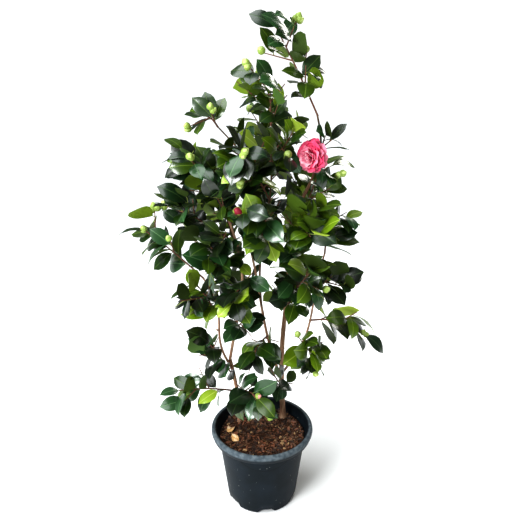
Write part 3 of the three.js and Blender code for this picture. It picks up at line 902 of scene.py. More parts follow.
@dataclass(frozen=True)
class LipSheenPlastic(Finish):
    """Moulded pot plastic: the top of the rim paler by a painted sky reflection, pale patches on it that are
    partly dust and partly painted sheen, specks of grit, and a faint dark arc.
    """

    # paler tone of the top of the rim: a painted sky reflection
    lip: str = "#465057"
    lip_height: float = 0.1765
    lip_full: float = 0.1825
    lip_inside: float = 0.1105  # the painted reflection stops within this radius
    lip_outside: float = 0.1130
    lip_cover: float = 0.85
    # pale patches on the painted reflection, partly dust and partly painted sheen
    dust_and_sheen: str = "#8b959a"
    dust_and_sheen_scale: float = 110.0  # patches in a metre, partly dust and partly painted sheen
    dust_and_sheen_amount: float = 0.4
    grit: str = "#8a8c88"
    grit_scale: float = 150.0  # cells in a metre, some with a speck
    grit_size: float = 0.12  # share of a cell
    # a faint dark arc across the front of the wall
    dark_arc: str = "#0b0e11"
    dark_arc_centre: Point = (0.006, 0.0, 0.226)
    dark_arc_radius: float = 0.09
    dark_arc_width: float = 0.0007
    dark_arc_front: float = -0.05  # it runs in front of this y
    dark_arc_top: float = 0.164  # and below this height

    def dressed(self, tree: Tree, kit: EffectKit, colour: Socket) -> Socket:
        """Lays the painted sky reflection on the top of the rim, with its patches of dust and painted sheen,
        the grit and the dark arc over the plastic.

        Args:
            tree: The material's node tree.
            kit: The shared effects.
            colour: The colour of the plastic.

        Returns:
            The socket of the dressed colour.
        """
        place = object_place(tree)
        axes = add_node(tree, "SeparateXYZ", {"Vector": place})
        # mask of the painted sky reflection on the top of the rim
        lip = worked_out(
            tree, "MULTIPLY",
            self.ramp(tree, self.off_axis(tree, place), self.lip_inside, self.lip_outside, 1.0),
            self.ramp(tree, axes.outputs["Z"], self.lip_height, self.lip_full, self.lip_cover),
        )
        sheen_and_dust = kit.place(tree, Effect.UNEVEN_TONE, vector=place, tone=linear(self.lip),
                          other=linear(self.dust_and_sheen), scale=self.dust_and_sheen_scale, amount=self.dust_and_sheen_amount)
        grit = kit.place(tree, Effect.SPECKS, vector=place, scale=self.grit_scale, size=self.grit_size)
        # the painted reflection and its patches of dust and painted sheen, laid over the plastic
        sheened = self.laid_over(tree, colour, lip, sheen_and_dust.outputs["Color"])
        gritty = self.laid_over(tree, sheened, grit.outputs["Mask"], linear(self.grit))
        return self.laid_over(tree, gritty, self.dark_arc_mask(tree, axes), linear(self.dark_arc))

    @staticmethod
    def off_axis(tree: Tree, place: Socket) -> Socket:
        """The distance of a place from the pot's axis."""
        flat = add_node(tree, "VectorMath", {0: place, 1: (1.0, 1.0, 0.0)}, operation="MULTIPLY")
        return add_node(tree, "VectorMath", {0: flat.outputs["Vector"]}, operation="LENGTH").outputs["Value"]

    @staticmethod
    def ramp(tree: Tree, value: Socket, low: float, high: float, full: float) -> Socket:
        """A mask that rises with a value, from 0 at a low one to a full mask at a high one."""
        inputs = {"Value": value, "From Min": low, "From Max": high, "To Max": full}
        return add_node(tree, "MapRange", inputs).outputs["Result"]

    def dark_arc_mask(self, tree: Tree, axes: Node) -> Socket:
        """The mask of a faint dark arc across the front of the wall.

        Args:
            tree: The material's node tree.
            axes: The node that gives the piece's x, y and z.

        Returns:
            The socket of the mask.
        """
        x, y, z = (axes.outputs[name] for name in "XYZ")
        flat = add_node(tree, "CombineXYZ", {"X": x, "Z": z}).outputs["Vector"]
        reach = add_node(tree, "VectorMath", {0: flat, 1: self.dark_arc_centre}, operation="DISTANCE")
        near = worked_out(tree, "COMPARE", reach.outputs["Value"], self.dark_arc_radius, self.dark_arc_width)
        front = worked_out(tree, "LESS_THAN", y, self.dark_arc_front)
        below = worked_out(tree, "LESS_THAN", z, self.dark_arc_top)
        return worked_out(tree, "MULTIPLY", near, worked_out(tree, "MULTIPLY", front, below))

    @staticmethod
    def laid_over(tree: Tree, under: Socket, mask: Socket, over: Socket | tuple[float, ...]) -> Socket:
        """A second colour laid over a first one where a mask says."""
        inputs = {"Factor": mask, "A": under, "B": over}
        return add_node(tree, "Mix", inputs, data_type="RGBA").outputs["Result"]


class Tint(Enum):
    """The tints of leaves, from dark to light: old leaves and painted shade at the dark end, young leaves and
    painted light at the light end; each gives the upper face, midrib and lower face.
    """

    DEEP = ("#0c1b04", "#263914", "#2c3d09")
    BOTTLE = ("#10290f", "#304a23", "#374c15")
    SAGE = ("#254923", "#4d7044", "#4c6a2c")
    DARK = ("#193405", "#3e561a", "#445b0c")
    MID = ("#344c07", "#5d7620", "#5d7512")
    GRASS = ("#4a650b", "#7a922d", "#76901b")
    FRESH = ("#668212", "#94a93d", "#8aa227")
    LIME = ("#94af32", "#b6c85b", "#a6bc43")

    def finishes(self) -> tuple[Finish, Finish, Finish]:
        """The three finishes of a leaf of this tint.

        Returns:
            The finishes, in the order of the leaf pattern's places.
        """
        top, rib, under = self.value
        name = self.name.lower()
        return (
            Finish(f"leaf_{name}", top, roughness=0.38, specular=0.36, coat=0.68, coat_roughness=0.2),
            Finish(f"midrib_{name}", rib, roughness=0.42),
            Finish(f"leaf_under_{name}", under, roughness=0.6, specular=0.35),
        )


class LightMix(Enum):
    """How often each tint comes up among the twigs of a mass, in the order of the tints: painted light and
    shade, with lighter, yellower tints for masses in the light and darker, cooler ones for masses in the
    shade.
    """

    SHADY = (0.27, 0.22, 0.12, 0.17, 0.10, 0.08, 0.04, 0.0)
    SUNNY = (0.18, 0.05, 0.04, 0.23, 0.22, 0.16, 0.12, 0.0)
    UPPER = (0.16, 0.04, 0.08, 0.42, 0.18, 0.08, 0.04, 0.0)
    LOW = (0.03, 0.13, 0.38, 0.14, 0.18, 0.09, 0.03, 0.02)


POT_PLASTIC = LipSheenPlastic("pot_plastic", "#10181d", "#19222a", patch=0.05, amount=0.7,
                             roughness=0.5, specular=0.1, grain=0.00006, grain_size=0.0012)
SOIL_FINISH = Finish("potting_soil", "#2a180c", "#4c3020", patch=0.012, amount=0.9, roughness=0.95,
                     specular=0.2, grain=0.0009, grain_size=0.003)
CHIP_FINISHES = (
    Finish("chip_dark", "#2c160a", roughness=0.6, specular=0.5),
    Finish("chip_brown", "#5c3b26", roughness=0.55, specular=0.5),
    Finish("chip_red", "#7c4c33", roughness=0.55, specular=0.5),
    Finish("chip_tan", "#a98862", roughness=0.7, specular=0.4),
)
DRY_LEAF_FINISHES = (
    Finish("dry_leaf", "#c59a63", roughness=0.7),
    Finish("dry_midrib", "#8f6538"),
    Finish("dry_leaf_under", "#dcc09d", roughness=0.75),
)
BARK = Finish("bark", "#8a634c", "#bd9c80", patch=0.008, amount=0.8, roughness=0.8, specular=0.3,
              grain=0.0007, grain_size=0.0022, stretch=4.0)
CUT_WOOD = Finish("cut_wood", "#c9ab86", "#a98864", patch=0.001, roughness=0.85, specular=0.2)
YOUNG_BARK = Finish("young_bark", "#4f3d2a", "#75593f", patch=0.012, amount=0.8, roughness=0.7,
                    specular=0.3, grain=0.0003, grain_size=0.002, stretch=4.0)
TWIG_BARK = Finish("twig_bark", "#6f4a39", roughness=0.7, specular=0.3)
GREEN_SHOOT = Finish("green_shoot", "#75803a", roughness=0.55)
BUD_FINISHES = (
    Finish("bud_core", "#b4c676", roughness=0.5, subsurface=0.1),
    Finish("bud_scale", "#8ea54a", roughness=0.5, coat=0.1),
    Finish("bud_pink", "#e7a39c", roughness=0.55, subsurface=0.1),
    Finish("bud_red", "#8e1630", roughness=0.55),
)
PETAL_FINISHES = (
    Finish("petal_rose", "#cb2249", roughness=0.6, specular=0.3),
    Finish("petal_pink", "#dc4a71", roughness=0.6, specular=0.3),
    Finish("petal_blush", "#e4829a", roughness=0.6, specular=0.3),
    Finish("petal_pale", "#eeb7c3", roughness=0.6, specular=0.3),
)
SEPAL = Finish("sepal", "#66822f", roughness=0.6)

# ------------------------------------------------------------------ limbs


@dataclass
class Limb:
    """A stem or bough: one tapering limb with the relief of its bark."""

    plan: LimbPlan
    limbs: dict[str, "Limb"]  # the limbs that are there already
    sides: int = 18
    ring_step: float = 0.004  # between two rings of corners
    fewest_rings: int = 6
    relief: float = 0.07  # depth of the bark's relief, as a share of the radius
    furrow: float = 260.0  # how close the furrows lie round the limb, in waves a metre
    drawn_out: float = 0.22  # how much slower the relief changes up the limb than round it
    knot_step: float = 0.062  # between two old leaf scars, which stand out as low rings
    knot_from: float = 0.4  # share of a step below which there is no scar
    knot_rise: float = 0.09  # how far a scar's ring stands out, as a share of the radius
    knot_width: float = 0.0035
    line: BentLine = field(init=False)

    def __post_init__(self) -> None:
        """Works out the limb's middle line from its plan and the limb that it grows on."""
        plan = self.plan
        course = (np.array(plan.end), plan.bow, plan.wave)
        if plan.foot:
            start = np.array([*plan.foot, SOIL_TOP + CLEAR])
        else:
            start = self.limbs[plan.on].seat(plan.at, plan.radii[0], *course)
        self.line = BentLine(start, *course)

    def seat(self, at: float, own_radius: float, end: Vec, bow: Vec | Point,
             wave: Vec | Point = STILL) -> Vec:
        """Where a line that ends at a place starts on this limb.

        Args:
            at: The share of this limb's length where it starts.
            own_radius: The radius of what starts there.
            end: Where the line ends.
            bow: How far it bows.
            wave: How far it waves.

        Returns:
            A place just past this limb's tip, or on its middle line.
        """
        middle = self.line.point(at)
        if at < 1:
            return middle
        tangent = self.line.tangent(at)
        away = BentLine(middle, end, bow, wave).tangent(0)
        slant = math.sqrt(max(0.0, 1.0 - float(dots(away, tangent)) ** 2))
        return middle + tangent * (CLEAR + own_radius * slant)

    def radius(self, t: float) -> float:
        """The limb's radius at a share of its length, with the root flare at a stem's foot."""
        thick, thin = self.plan.radii
        return thick + (thin - thick) * t + self.plan.flare * max(0.0, 1.0 - t / FLARE_SHARE) ** 2

    def build(self, finish: Material) -> None:
        """Models the limb from a cylinder, cut into rings, and dresses it.

        Args:
            finish: The bark's material.
        """
        deselect_all()
        bpy.ops.mesh.primitive_cylinder_add(vertices=self.sides, radius=1.0, depth=1.0)
        piece = bpy.context.object
        fix_place(piece, f"{self.plan.name}_bark")
        cuts = max(self.fewest_rings, int(self.line.length() / self.ring_step))
        with editing(piece, "EDGE"):
            select_long_edges(piece)
            bpy.ops.mesh.subdivide(number_cuts=cuts)
        frames = self.frames(cuts + 2)

        def onto_limb(corner: Vector) -> Vec:
            """Moves a corner of the plain cylinder onto the bent limb.

            Args:
                corner: The corner on the cylinder.

            Returns:
                Its place on the limb.
            """
            t = corner.z + 0.5
            middle, u, v = frames[round(t * (cuts + 1))]
            outward = u * corner.x + v * corner.y
            return middle + outward * self.relieved(t, middle + outward * self.plan.radii[0])

        reshape(piece, onto_limb)
        piece.data.materials.append(finish)
        smooth(piece)
        keep(piece, "bark", self.plan.name)

    def frames(self, count: int) -> list[tuple[Vec, Vec, Vec]]:
        """The frames at even steps along the limb.

        Args:
            count: How many there are.

        Returns:
            The middle and two directions across, for each.
        """
        frames = []
        u, _ = across(self.line.tangent(0))
        for i in range(count):
            t = i / (count - 1)
            tangent = UP if self.plan.foot and i == 0 else self.line.tangent(t)
            u = unit(u - tangent * dots(u, tangent))
            frames.append((self.line.point(t), u, np.cross(tangent, u)))
        return frames

    def relieved(self, t: float, place: Vec) -> float:
        """The radius at a place on the limb, with furrows and the rings of old leaf scars.

        Args:
            t: The share of the limb's length.
            place: The place on its plain surface.

        Returns:
            The distance of its bark from its middle.
        """
        x, y, z = place * self.furrow
        furrow = noise.fractal(Vector((x, y, z * self.drawn_out)), *RELIEF_LAYERS)
        along = t * self.line.length() / self.knot_step
        from_knot = (along - round(along)) * self.knot_step / self.knot_width
        knot = self.knot_rise * math.exp(-from_knot * from_knot) if along > self.knot_from else 0.0
        return self.radius(t) * (1.0 + self.relief * furrow + knot)


@dataclass(frozen=True)
class Stub:
    """A twig that was pruned off short: where it stands on its limb, and how long it is."""

    limb: str
    at: float  # share of the limb's length
    turn: float  # round the limb
    length: float


@dataclass
class Stubs:
    """The pruned stubs on the limbs, with pale cut ends."""

    radius: float = 0.0019
    taper: Span = (1.15, 0.95)  # of the radius, from foot to end
    lean: float = 0.9  # how far a stub leans up along its limb
    sides: int = 10
    rings: int = 4
    stubs: tuple[Stub, ...] = (
        Stub("right_stem", 0.955, -1.1, 0.016),
        Stub("right_stem", 0.90, 2.6, 0.011),
        Stub("right_stem", 0.34, 0.4, 0.008),
        Stub("left_stem", 0.62, 3.4, 0.009),
        Stub("centre_bough", 0.30, 2.0, 0.008),
        Stub("left_bough", 0.45, -0.9, 0.008),
    )

    def build(self, limbs: dict[str, Limb], bark: Material, cut: Material) -> None:
        """Makes the stubs as one piece.

        Args:
            limbs: The limbs that they stand on, by name.
            bark: The material of their sides.
            cut: The material of their cut ends.
        """
        heap, shares = Heap(), np.linspace(0.0, 1.0, self.rings)
        for stub in self.stubs:
            line = limbs[stub.limb].line
            tangent = line.tangent(stub.at)
            out = unit(spoke(tangent, stub.turn) + tangent * self.lean)
            reach = limbs[stub.limb].radius(stub.at) + stub.length
            middles = line.point(stub.at) + np.outer(shares * reach, out)
            heap.add_tube(middles, self.radius * np.linspace(*self.taper, self.rings), self.sides)
            heap.finishes[-1] = 1
        heap.build("pruned_stubs", [bark, cut], "bark")


# ------------------------------------------------------------------ the rule of the foliage


class Spaces:
    """The space of each mass, parted half way between the leaders and kept clear of the limbs."""

    def __init__(self, leaders: list[BentLine], reaches: list[float]) -> None:
        """Starts with the masses and no limb.

        Args:
            leaders: The masses' leaders.
            reaches: How far each mass reaches from its leader.
        """
        self.lines = [line.samples() for line in leaders]
        self.reaches = reaches
        self.masses = len(leaders)
        self.tapers: list[Point] = []
        self.starts = self.runs = self.lengths_squared = np.zeros(0)

    def add_obstacle(self, line: BentLine, thick: float, thin: float, flare: float = 0.0) -> None:
        """Adds a tapering limb that foliage keeps clear of."""
        self.lines.append(line.samples())
        self.tapers.append((thick, thin, flare))

    def settle(self) -> None:
        """Prepares the tests once every obstacle is there."""
        rows = np.array(self.lines)
        self.starts = rows[:, :-1]
        self.runs = rows[:, 1:] - rows[:, :-1]
        self.lengths_squared = dots(self.runs, self.runs)

    def hold(self, points: Vec, mass: int, space_gap: float, limb_gap: float) -> bool:
        """Whether points all lie in a mass's space, clear of limbs and of the other spaces.

        Args:
            points: The points to test, one in each row.
            mass: The mass's number.
            space_gap: How much nearer the mass's own leader has to be than another's.
            limb_gap: The least distance to a limb's surface.

        Returns:
            True when every point fits.
        """
        if points[:, 2].max() > CROWN_TOP or points[:, 2].min() < LOWEST_LEAF:
            return False
        offsets = points[:, None, None, :] - self.starts
        t = np.clip(dots(offsets, self.runs) / self.lengths_squared, 0.0, 1.0)
        gaps = np.linalg.norm(offsets - self.runs * t[..., None], axis=-1)
        best = gaps.argmin(axis=-1)
        nearest = gaps.min(axis=-1)
        own = nearest[:, mass]
        if own.max() > self.reaches[mass]:
            return False
        others = nearest[:, : self.masses].copy()
        others[:, mass] = np.inf
        if (others.min(axis=1) < own + space_gap).any():
            return False
        limb_t = np.take_along_axis(t, best[..., None], axis=-1)[..., 0][:, self.masses :]
        shares = (best[:, self.masses :] + limb_t) / LINE_SAMPLES
        thick, thin, flare = np.array(self.tapers).T
        radii = thick + (thin - thick) * shares + flare * np.maximum(0.0, 1.0 - shares / FLARE_SHARE) ** 2
        return not (nearest[:, self.masses :] < radii + limb_gap).any()


TWIG_TESTS = np.array([0.2, 0.35, 0.5, 0.65, 0.8, 0.9, 1.0])  # shares of a twig's length
ALONG_TESTS = np.array([0.15, 0.28, 0.4, 0.52, 0.64, 0.76, 0.88, 1.0])  # shares of a leaf's length
ACROSS_TESTS = np.array([-1.0, -0.5, 0.0, 0.5, 1.0])  # shares of its half width
FAR_APART = 2.2  # leaves whose feet are more full lengths apart than this can't touch


def swell(t: Vec) -> Vec:
    """How wide the plain leaf is at t, from 0 at both ends to 1 where it is widest."""
    return np.where(t < LEAF.widest, t / LEAF.widest, (1.0 - t) / (1.0 - LEAF.widest))


@dataclass
class Leaf:
    """A leaf's place and its own directions: out along the midrib, across it, and its face."""

    base: Vec
    out: Vec
    face: Vec
    cross: Vec
    length: float
    stem: int = 0  # the number of the twig that bears it

    def test_points(self) -> Vec:
        """Points spread over the plain folded blade.

        Returns:
            The points, one in each row.
        """
        t, s = (grid.ravel() for grid in np.meshgrid(ALONG_TESTS, ACROSS_TESTS, indexing="ij"))
        half = 0.5 * LEAF.width * self.length * swell(t)
        fall = LEAF.fold * self.length * np.abs(s) * swell(t)
        return (
            self.base
            + np.outer(self.length * t, self.out)
            + np.outer(half * s, self.cross)
            - np.outer(fall, self.face)
        )


class Blades:
    """Leaves that are already there, for the tests of a new one."""

    def __init__(self) -> None:
        """Starts with no leaf."""
        self.leaves: list[Leaf] = []
        self.points: list[Vec] = []

    def add(self, leaf: Leaf, points: Vec) -> None:
        """Adds a leaf with the test points of its blade."""
        self.leaves.append(leaf)
        self.points.append(points)

    @staticmethod
    def near(points: Vec, leaves: list[Leaf], gap: float) -> bool:
        """Whether any point comes too near a leaf's blade, away from the foot of the leaf.

        Args:
            points: The points, one in each row.
            leaves: The leaves to keep clear of.
            gap: The distance to keep.

        Returns:
            True when one point is too near.
        """
        base, out, face, cross = (
            np.array([getattr(leaf, name) for leaf in leaves])[:, None]
            for name in ("base", "out", "face", "cross")
        )
        length = np.array([leaf.length for leaf in leaves])[:, None]
        offset = points - base
        t = dots(offset, out) / length
        wide = swell(np.minimum(1.0, t))
        s = dots(offset, cross) / (0.5 * LEAF.width * length * wide + gap)
        height = dots(offset, face) + LEAF.fold * length * np.abs(s) * wide
        beside = (t >= LEAF.foot) & (t <= LEAF.end) & (np.abs(s) < 1.0)
        return bool((beside & (np.abs(height) < gap)).any())

    def clear_of(self, leaf: Leaf, points: Vec, gap: float) -> bool:
        """Whether a new leaf keeps clear of all that are there.

        Args:
            leaf: The new leaf.
            points: The test points of its blade.
            gap: The distance to keep.

        Returns:
            True when it does.
        """
        near = [k for k, other in enumerate(self.leaves)
                if np.linalg.norm(other.base - leaf.base) < FAR_APART * LEAF.length]
        if not near:
            return True
        if self.near(points, [self.leaves[k] for k in near], gap):
            return False
        return not self.near(np.concatenate([self.points[k] for k in near]), [leaf], gap)


@dataclass
class Stem:
    """A leader, twig or shoot: its line, its radius at both ends, and its tint's number."""

    line: BentLine
    radius: float
    tip_radius: float
    green: bool = False
    tint: int = 0


@dataclass(frozen=True)
class Fill:
    """How closely one pass of leaves is set, and what it keeps clear of."""

    spacing: float = LEAF.spacing
    gap: float = LEAF.gap
    space_gap: float = TWIG.space_gap
    limb_gap: float = TWIG.limb_gap
    size: float = 1.0
    bare: float = LEAF.bare


FIRST_FILL = Fill()
SECOND_FILL = Fill(spacing=0.024, gap=0.0012, space_gap=-0.004, limb_gap=0.003, size=1.0, bare=0.08)
SHOOT_FILL = Fill(spacing=0.016, gap=0.0012, space_gap=-0.004, limb_gap=0.003, size=0.95, bare=0.2)


@dataclass(frozen=True)
class ShootRule:
    """How the finer twigs that carry the rule on stand on the twigs, and how long they are."""

    spacing: float = 0.036
    lengths: Span = (0.028, 0.056)
    radius: float = 0.0010
    tip_radius: float = 0.0006
    first: float = 0.12


SHOOT = ShootRule()


class Mass:
    """A mass of foliage: twigs spread round a leader, with leaves and buds, in its own space."""

    def __init__(self, plan: MassPlan, number: int, leader: BentLine, spaces: Spaces) -> None:
        """Starts the mass's dice, with nothing grown yet.

        Args:
            plan: The mass's plan.
            number: Its number among the masses.
            leader: Its leader.
            spaces: The spaces of all masses.
        """
        self.plan = plan
        self.number = number
        self.leader = leader
        self.spaces = spaces
        self.dice = Dice(plan.seed)
        self.stems: list[Stem] = []
        self.buds: list[tuple[BentLine, int]] = []
        self.blades = Blades()

    def fits(self, points: Vec, fill: Fill = FIRST_FILL) -> bool:
        """Whether points lie in the mass's own space."""
        return self.spaces.hold(points, self.number, fill.space_gap, fill.limb_gap)

    def grow(self) -> None:
        """Grows the twigs, buds and leaves by the rule of the solids, and then the finer ones."""
        self.grow_twigs()
        self.grow_buds()
        for number in range(len(self.stems)):
            self.grow_leaves(number, FIRST_FILL)
        self.drop_bare_twigs()
        if not self.plan.airy:
            self.grow_shoots()
            for number in range(len(self.stems)):
                self.grow_leaves(number, SHOOT_FILL if self.stems[number].green else SECOND_FILL)
        self.crowd_buds()

    def grow_twigs(self) -> None:
        """Spreads the side twigs round the leader."""
        plan, dice = self.plan, self.dice
        self.stems.append(Stem(self.leader, TWIG.leader_radius, TWIG.leader_tip_radius))
        for k in range(plan.twigs):
            t = TWIG.first + TWIG.range * ((k + dice.roll()) / plan.twigs)
            turn = k * TWIG.turn + dice.either_side(TWIG.stray)
            full = plan.reach * dice.between(*TWIG.reach)
            line = self.side_line(self.leader, t, turn, full, FIRST_FILL)
            if line:
                self.stems.append(Stem(line, TWIG.radius, TWIG.tip_radius))

    def side_line(self, stem: BentLine, t: float, turn: float, full: float, fill: Fill) -> BentLine | None:
        """A side line, turned and then shortened until it stays in the mass's space.

        Args:
            stem: The line that it starts on.
            t: The share of that line's length where it starts.
            turn: Its first turn round that line.
            full: Its full length.
            fill: What it keeps clear of.

        Returns:
            The line, or None where there is no room.
        """
        start, tangent = stem.point(t), stem.tangent(t)
        for n in range(TRIES):
            direction = spoke(tangent, turn + n * FULL_TURN / TRIES) + tangent * TWIG.lean
            direction = unit(direction + UP * TWIG.rise)
            for share in TWIG.shares:
                line = BentLine(start, start + direction * full * share)
                if self.fits(line.point(TWIG_TESTS), fill):
                    return line
        return None

    def grow_buds(self) -> None:
        """Sets a bud at the tip of each of the last twigs, where it has room."""
        count = len(self.stems)
        for number in list(range(count))[count - self.plan.buds :]:
            line = self.bud_line(self.stems[number].line)
            if line:
                self.buds.append((line, number))

    def bud_line(self, stem: BentLine) -> BentLine | None:
        """The middle line of a bud at a stem's tip, leaning to the first side where it has room.

        Args:
            stem: The stem's line.

        Returns:
            The line, or None where there is no room.
        """
        start, tangent = stem.point(1.0), stem.tangent(1.0)
        for n in range(TRIES):
            direction = tangent + spoke(tangent, n * FULL_TURN / TRIES) * BUD.lean
            direction = unit(direction + UP * BUD.lean)
            line = BentLine(start, start + direction * BUD.length)
            if self.fits(line.point(np.array(BUD.tests))):
                return line
        return None

    def grow_leaves(self, number: int, fill: Fill) -> None:
        """Adds the leaves of one stem, each tried at a few turns round it until it fits.

        Args:
            number: The stem's number.
            fill: How close the leaves stand.
        """
        line, dice = self.stems[number].line, self.dice
        count = max(2, int(line.length() * (1.0 - fill.bare) / fill.spacing + 0.5) + 1)
        first_turn = dice.between(0.0, FULL_TURN)
        for j in range(count):
            last = j == count - 1
            t = LEAF.last_at if last else fill.bare + (1.0 - fill.bare) * (j + 0.5) / count
            tilt = LEAF.last_tilt if last else LEAF.tilt
            tilt *= 1.0 + LEAF.tilt_spread * dice.either_side()
            roll = LEAF.roll * dice.either_side()
            full = LEAF.length * fill.size * (1.0 + LEAF.length_spread * dice.either_side())
            for n in range(2 * TRIES):
                turn = first_turn + j * LEAF.turn + n * FULL_TURN / TRIES
                length = full if n < TRIES else LEAF.small * full
                leaf = self.leaf_at(number, t, turn, tilt, roll, length)
                points = leaf.test_points()
                if self.leaf_fits(leaf, points, fill):
                    self.blades.add(leaf, points)
                    break

    def leaf_at(self, number: int, t: float, turn: float, tilt: float, roll: float, length: float) -> Leaf:
        """A leaf with its face turned up and out from the crown's axis.

        Args:
            number: The number of the stem that bears it.
            t: The share of the stem's length where it stands.
            turn: Its turn round the stem.
            tilt: How far it leans away from the stem.
            roll: How far it is turned about its midrib.
            length: Its length.

        Returns:
            The leaf.
        """
        line = self.stems[number].line
        tangent = line.tangent(t)
        out = tangent * math.cos(tilt) + spoke(tangent, turn) * math.sin(tilt)
        out = unit(out - UP * self.plan.droop)
        base = line.point(t) - out * LEAF.root
        outward = base - CROWN_AXIS
        outward[2] = 0.0
        face = UP + unit(outward) * LEAF.facing
        face = turned(unit(face - out * dots(face, out)), out, roll)
        return Leaf(base, out, face, np.cross(out, face), length, number)

    def leaf_fits(self, leaf: Leaf, points: Vec, fill: Fill) -> bool:
        """Whether a leaf stays in its space and clear of the twigs, buds and leaves already there.

        Args:
            leaf: The leaf.
            points: The test points of its blade.
            fill: What it keeps clear of.

        Returns:
            True when it does.
        """
        if not self.blades.clear_of(leaf, points, fill.gap):
            return False
        lines = [stem.line for k, stem in enumerate(self.stems) if k != leaf.stem]
        lines += [line for line, _ in self.buds]
        twig_points = [line.point(TWIG_TESTS) for line in lines]
        if twig_points and Blades.near(np.concatenate(twig_points), [leaf], fill.gap):
            return False
        return self.fits(points, fill)

    def drop_bare_twigs(self) -> None:
        """Drops each twig that bears neither a leaf nor a bud, and numbers the rest anew."""
        bearing = {0} | {leaf.stem for leaf in self.blades.leaves} | {n for _, n in self.buds}
        order = sorted(bearing)
        self.stems = [self.stems[k] for k in order]
        for leaf in self.blades.leaves:
            leaf.stem = order.index(leaf.stem)
        self.buds = [(line, order.index(k)) for line, k in self.buds]

    def grow_shoots(self) -> None:
        """Grows finer twigs on every twig, which fill the mass within the same reach."""
        for number in range(len(self.stems)):
            stem = self.stems[number]
            count = int(stem.line.length() / SHOOT.spacing)
            for k in range(count):
                t = SHOOT.first + (1.0 - SHOOT.first) * (k + self.dice.roll()) / count
                turn = k * TWIG.turn + self.dice.between(0.0, FULL_TURN)
                full = self.dice.between(*SHOOT.lengths)
                line = self.side_line(stem.line, t, turn, full, SHOOT_FILL)
                if line and self.pierces_nothing(line):
                    self.stems.append(Stem(line, SHOOT.radius, SHOOT.tip_radius, green=True))

    def pierces_nothing(self, line: BentLine) -> bool:
        """Whether a finer twig runs through no leaf."""
        leaves = self.blades.leaves
        return not (leaves and Blades.near(line.point(TWIG_TESTS), leaves, SHOOT_FILL.gap))

    def crowd_buds(self) -> None:
        """Sets one or two more buds beside most buds, as they crowd at the tips."""
        for line, number in list(self.buds):
            direction = line.tangent(0.0)
            more = self.dice.pick(BUD.more)
            first = self.dice.between(0.0, FULL_TURN)
            start = line.start - direction * BUD.more_sunk
            for k in range(more):
                side = direction * BUD.more_forward + spoke(direction, first + k * BUD.more_turn)
                side = unit(side + UP * BUD.more_rise)
                self.buds.append((BentLine(start, start + side * BUD.length * BUD.more_length), number))

    def light_mix(self, sunny_from: float, upper_from: float, low_to: float) -> LightMix:
        """How the mass is tinted by where it stands in the light: painted light and shade.

        Args:
            sunny_from: Masses past this x are on the sunny side.
            upper_from: Masses above this height are in the full light.
            low_to: Shady masses below this height take lighter, cool green tints, as painted light.

        Returns:
            The mass's mix of lit and shaded tints.
        """
        x, _, height = self.plan.tip
        if height > upper_from:
            return LightMix.UPPER
        if x > sunny_from:
            return LightMix.SUNNY
        return LightMix.LOW if height < low_to else LightMix.SHADY


# ------------------------------------------------------------------ leaves, twigs and buds as meshes


@dataclass
class LeafForm:
    """The leaf's outline and section, modelled once at a length of 1."""

    shares: tuple[float, ...] = (0.0, 0.08, 0.20, 0.35, 0.51, 0.67, 0.81, 0.92, 1.0)
    widths: tuple[float, ...] = (0.05, 0.35, 0.70, 0.94, 1.0, 0.91, 0.66, 0.26, 0.015)
    half_width: float = 0.30
    rib: float = 0.014  # half the midrib's width
    rib_most: float = 0.4  # and the most that it takes of the half width
    crown: float = 0.55  # where the top of each half lies, as a share of the half width
    hollow: float = 0.024  # how far the midrib lies below the crowns of the two halves
    thickness: float = 0.012
    cells: int = 5  # across the upper face
    cells_under: int = 2  # across the lower face
    weld: float = 1e-5
    under_from: float = -0.2  # faces that look down more than this belong to the lower face
    rib_within: float = 1e-4  # faces whose middle lies nearer than this to x = 0 are the midrib

    def upper(self, column: int, row: int) -> Point:
        """A corner of the upper face.

        Args:
            column: Its place across the row, from the left edge.
            row: Its row, from the foot.

        Returns:
            The corner.
        """
        half = self.half_width * self.widths[row]
        rib = min(self.rib, self.rib_most * half) / half
        place = (1.0, self.crown, rib)[min(column, self.cells - column)]
        side = -1.0 if 2 * column < self.cells else 1.0
        rise = 1.0 - ((place - self.crown) / self.crown) ** 2
        return side * half * place, self.shares[row], self.hollow * self.widths[row] * rise

    def lower(self, column: int, row: int) -> Point:
        """A corner of the lower face, which has the upper one's edges and a keel below the midrib.

        Args:
            column: Its place across the row, from the left edge.
            row: Its row, from the foot.

        Returns:
            The corner.
        """
        if column != 1:
            return self.upper(0 if column == 0 else self.cells, row)
        return 0.0, self.shares[row], -self.thickness

    def face(self, cells: int, place: Callable[[int, int], Point]) -> Piece:
        """Models one face of the leaf from a grid.

        Args:
            cells: How many cells it has across.
            place: Where each corner goes, by its column and row.

        Returns:
            The face's object.
        """
        rows = len(self.shares) - 1

        def onto_leaf(corner: Vector) -> Point:
            """The place on the leaf of a corner of the flat grid."""
            return place(round((corner.x + 0.5) * cells), round((corner.y + 0.5) * rows))

        return shaped_grid(cells, rows, onto_leaf)

    def model(self) -> Pattern:
        """Models both faces of the leaf and welds them along its edge.

        Returns:
            The pattern: x across, y along the midrib, z up from the face, with the material places
            0 for the upper face, 1 for the midrib and 2 for the lower face.
        """
        upper, lower = self.face(self.cells, self.upper), self.face(self.cells_under, self.lower)
        with editing(lower):
            bpy.ops.mesh.flip_normals()
        make_active(upper)
        lower.select_set(True)
        bpy.ops.object.join()
        with editing(upper):
            bpy.ops.mesh.remove_doubles(threshold=self.weld)
            bpy.ops.mesh.select_all(action="SELECT")
            bpy.ops.mesh.fill_holes(sides=8)
            bpy.ops.mesh.select_all(action="SELECT")
            bpy.ops.mesh.normals_make_consistent(inside=False)
        sides = [(face.normal.z < self.under_from, abs(face.center.x) < self.rib_within)
                 for face in upper.data.polygons]
        pattern = Pattern.taken_from(upper)
        pattern.finishes = [2 if under else int(on_rib) for under, on_rib in sides]
        return pattern


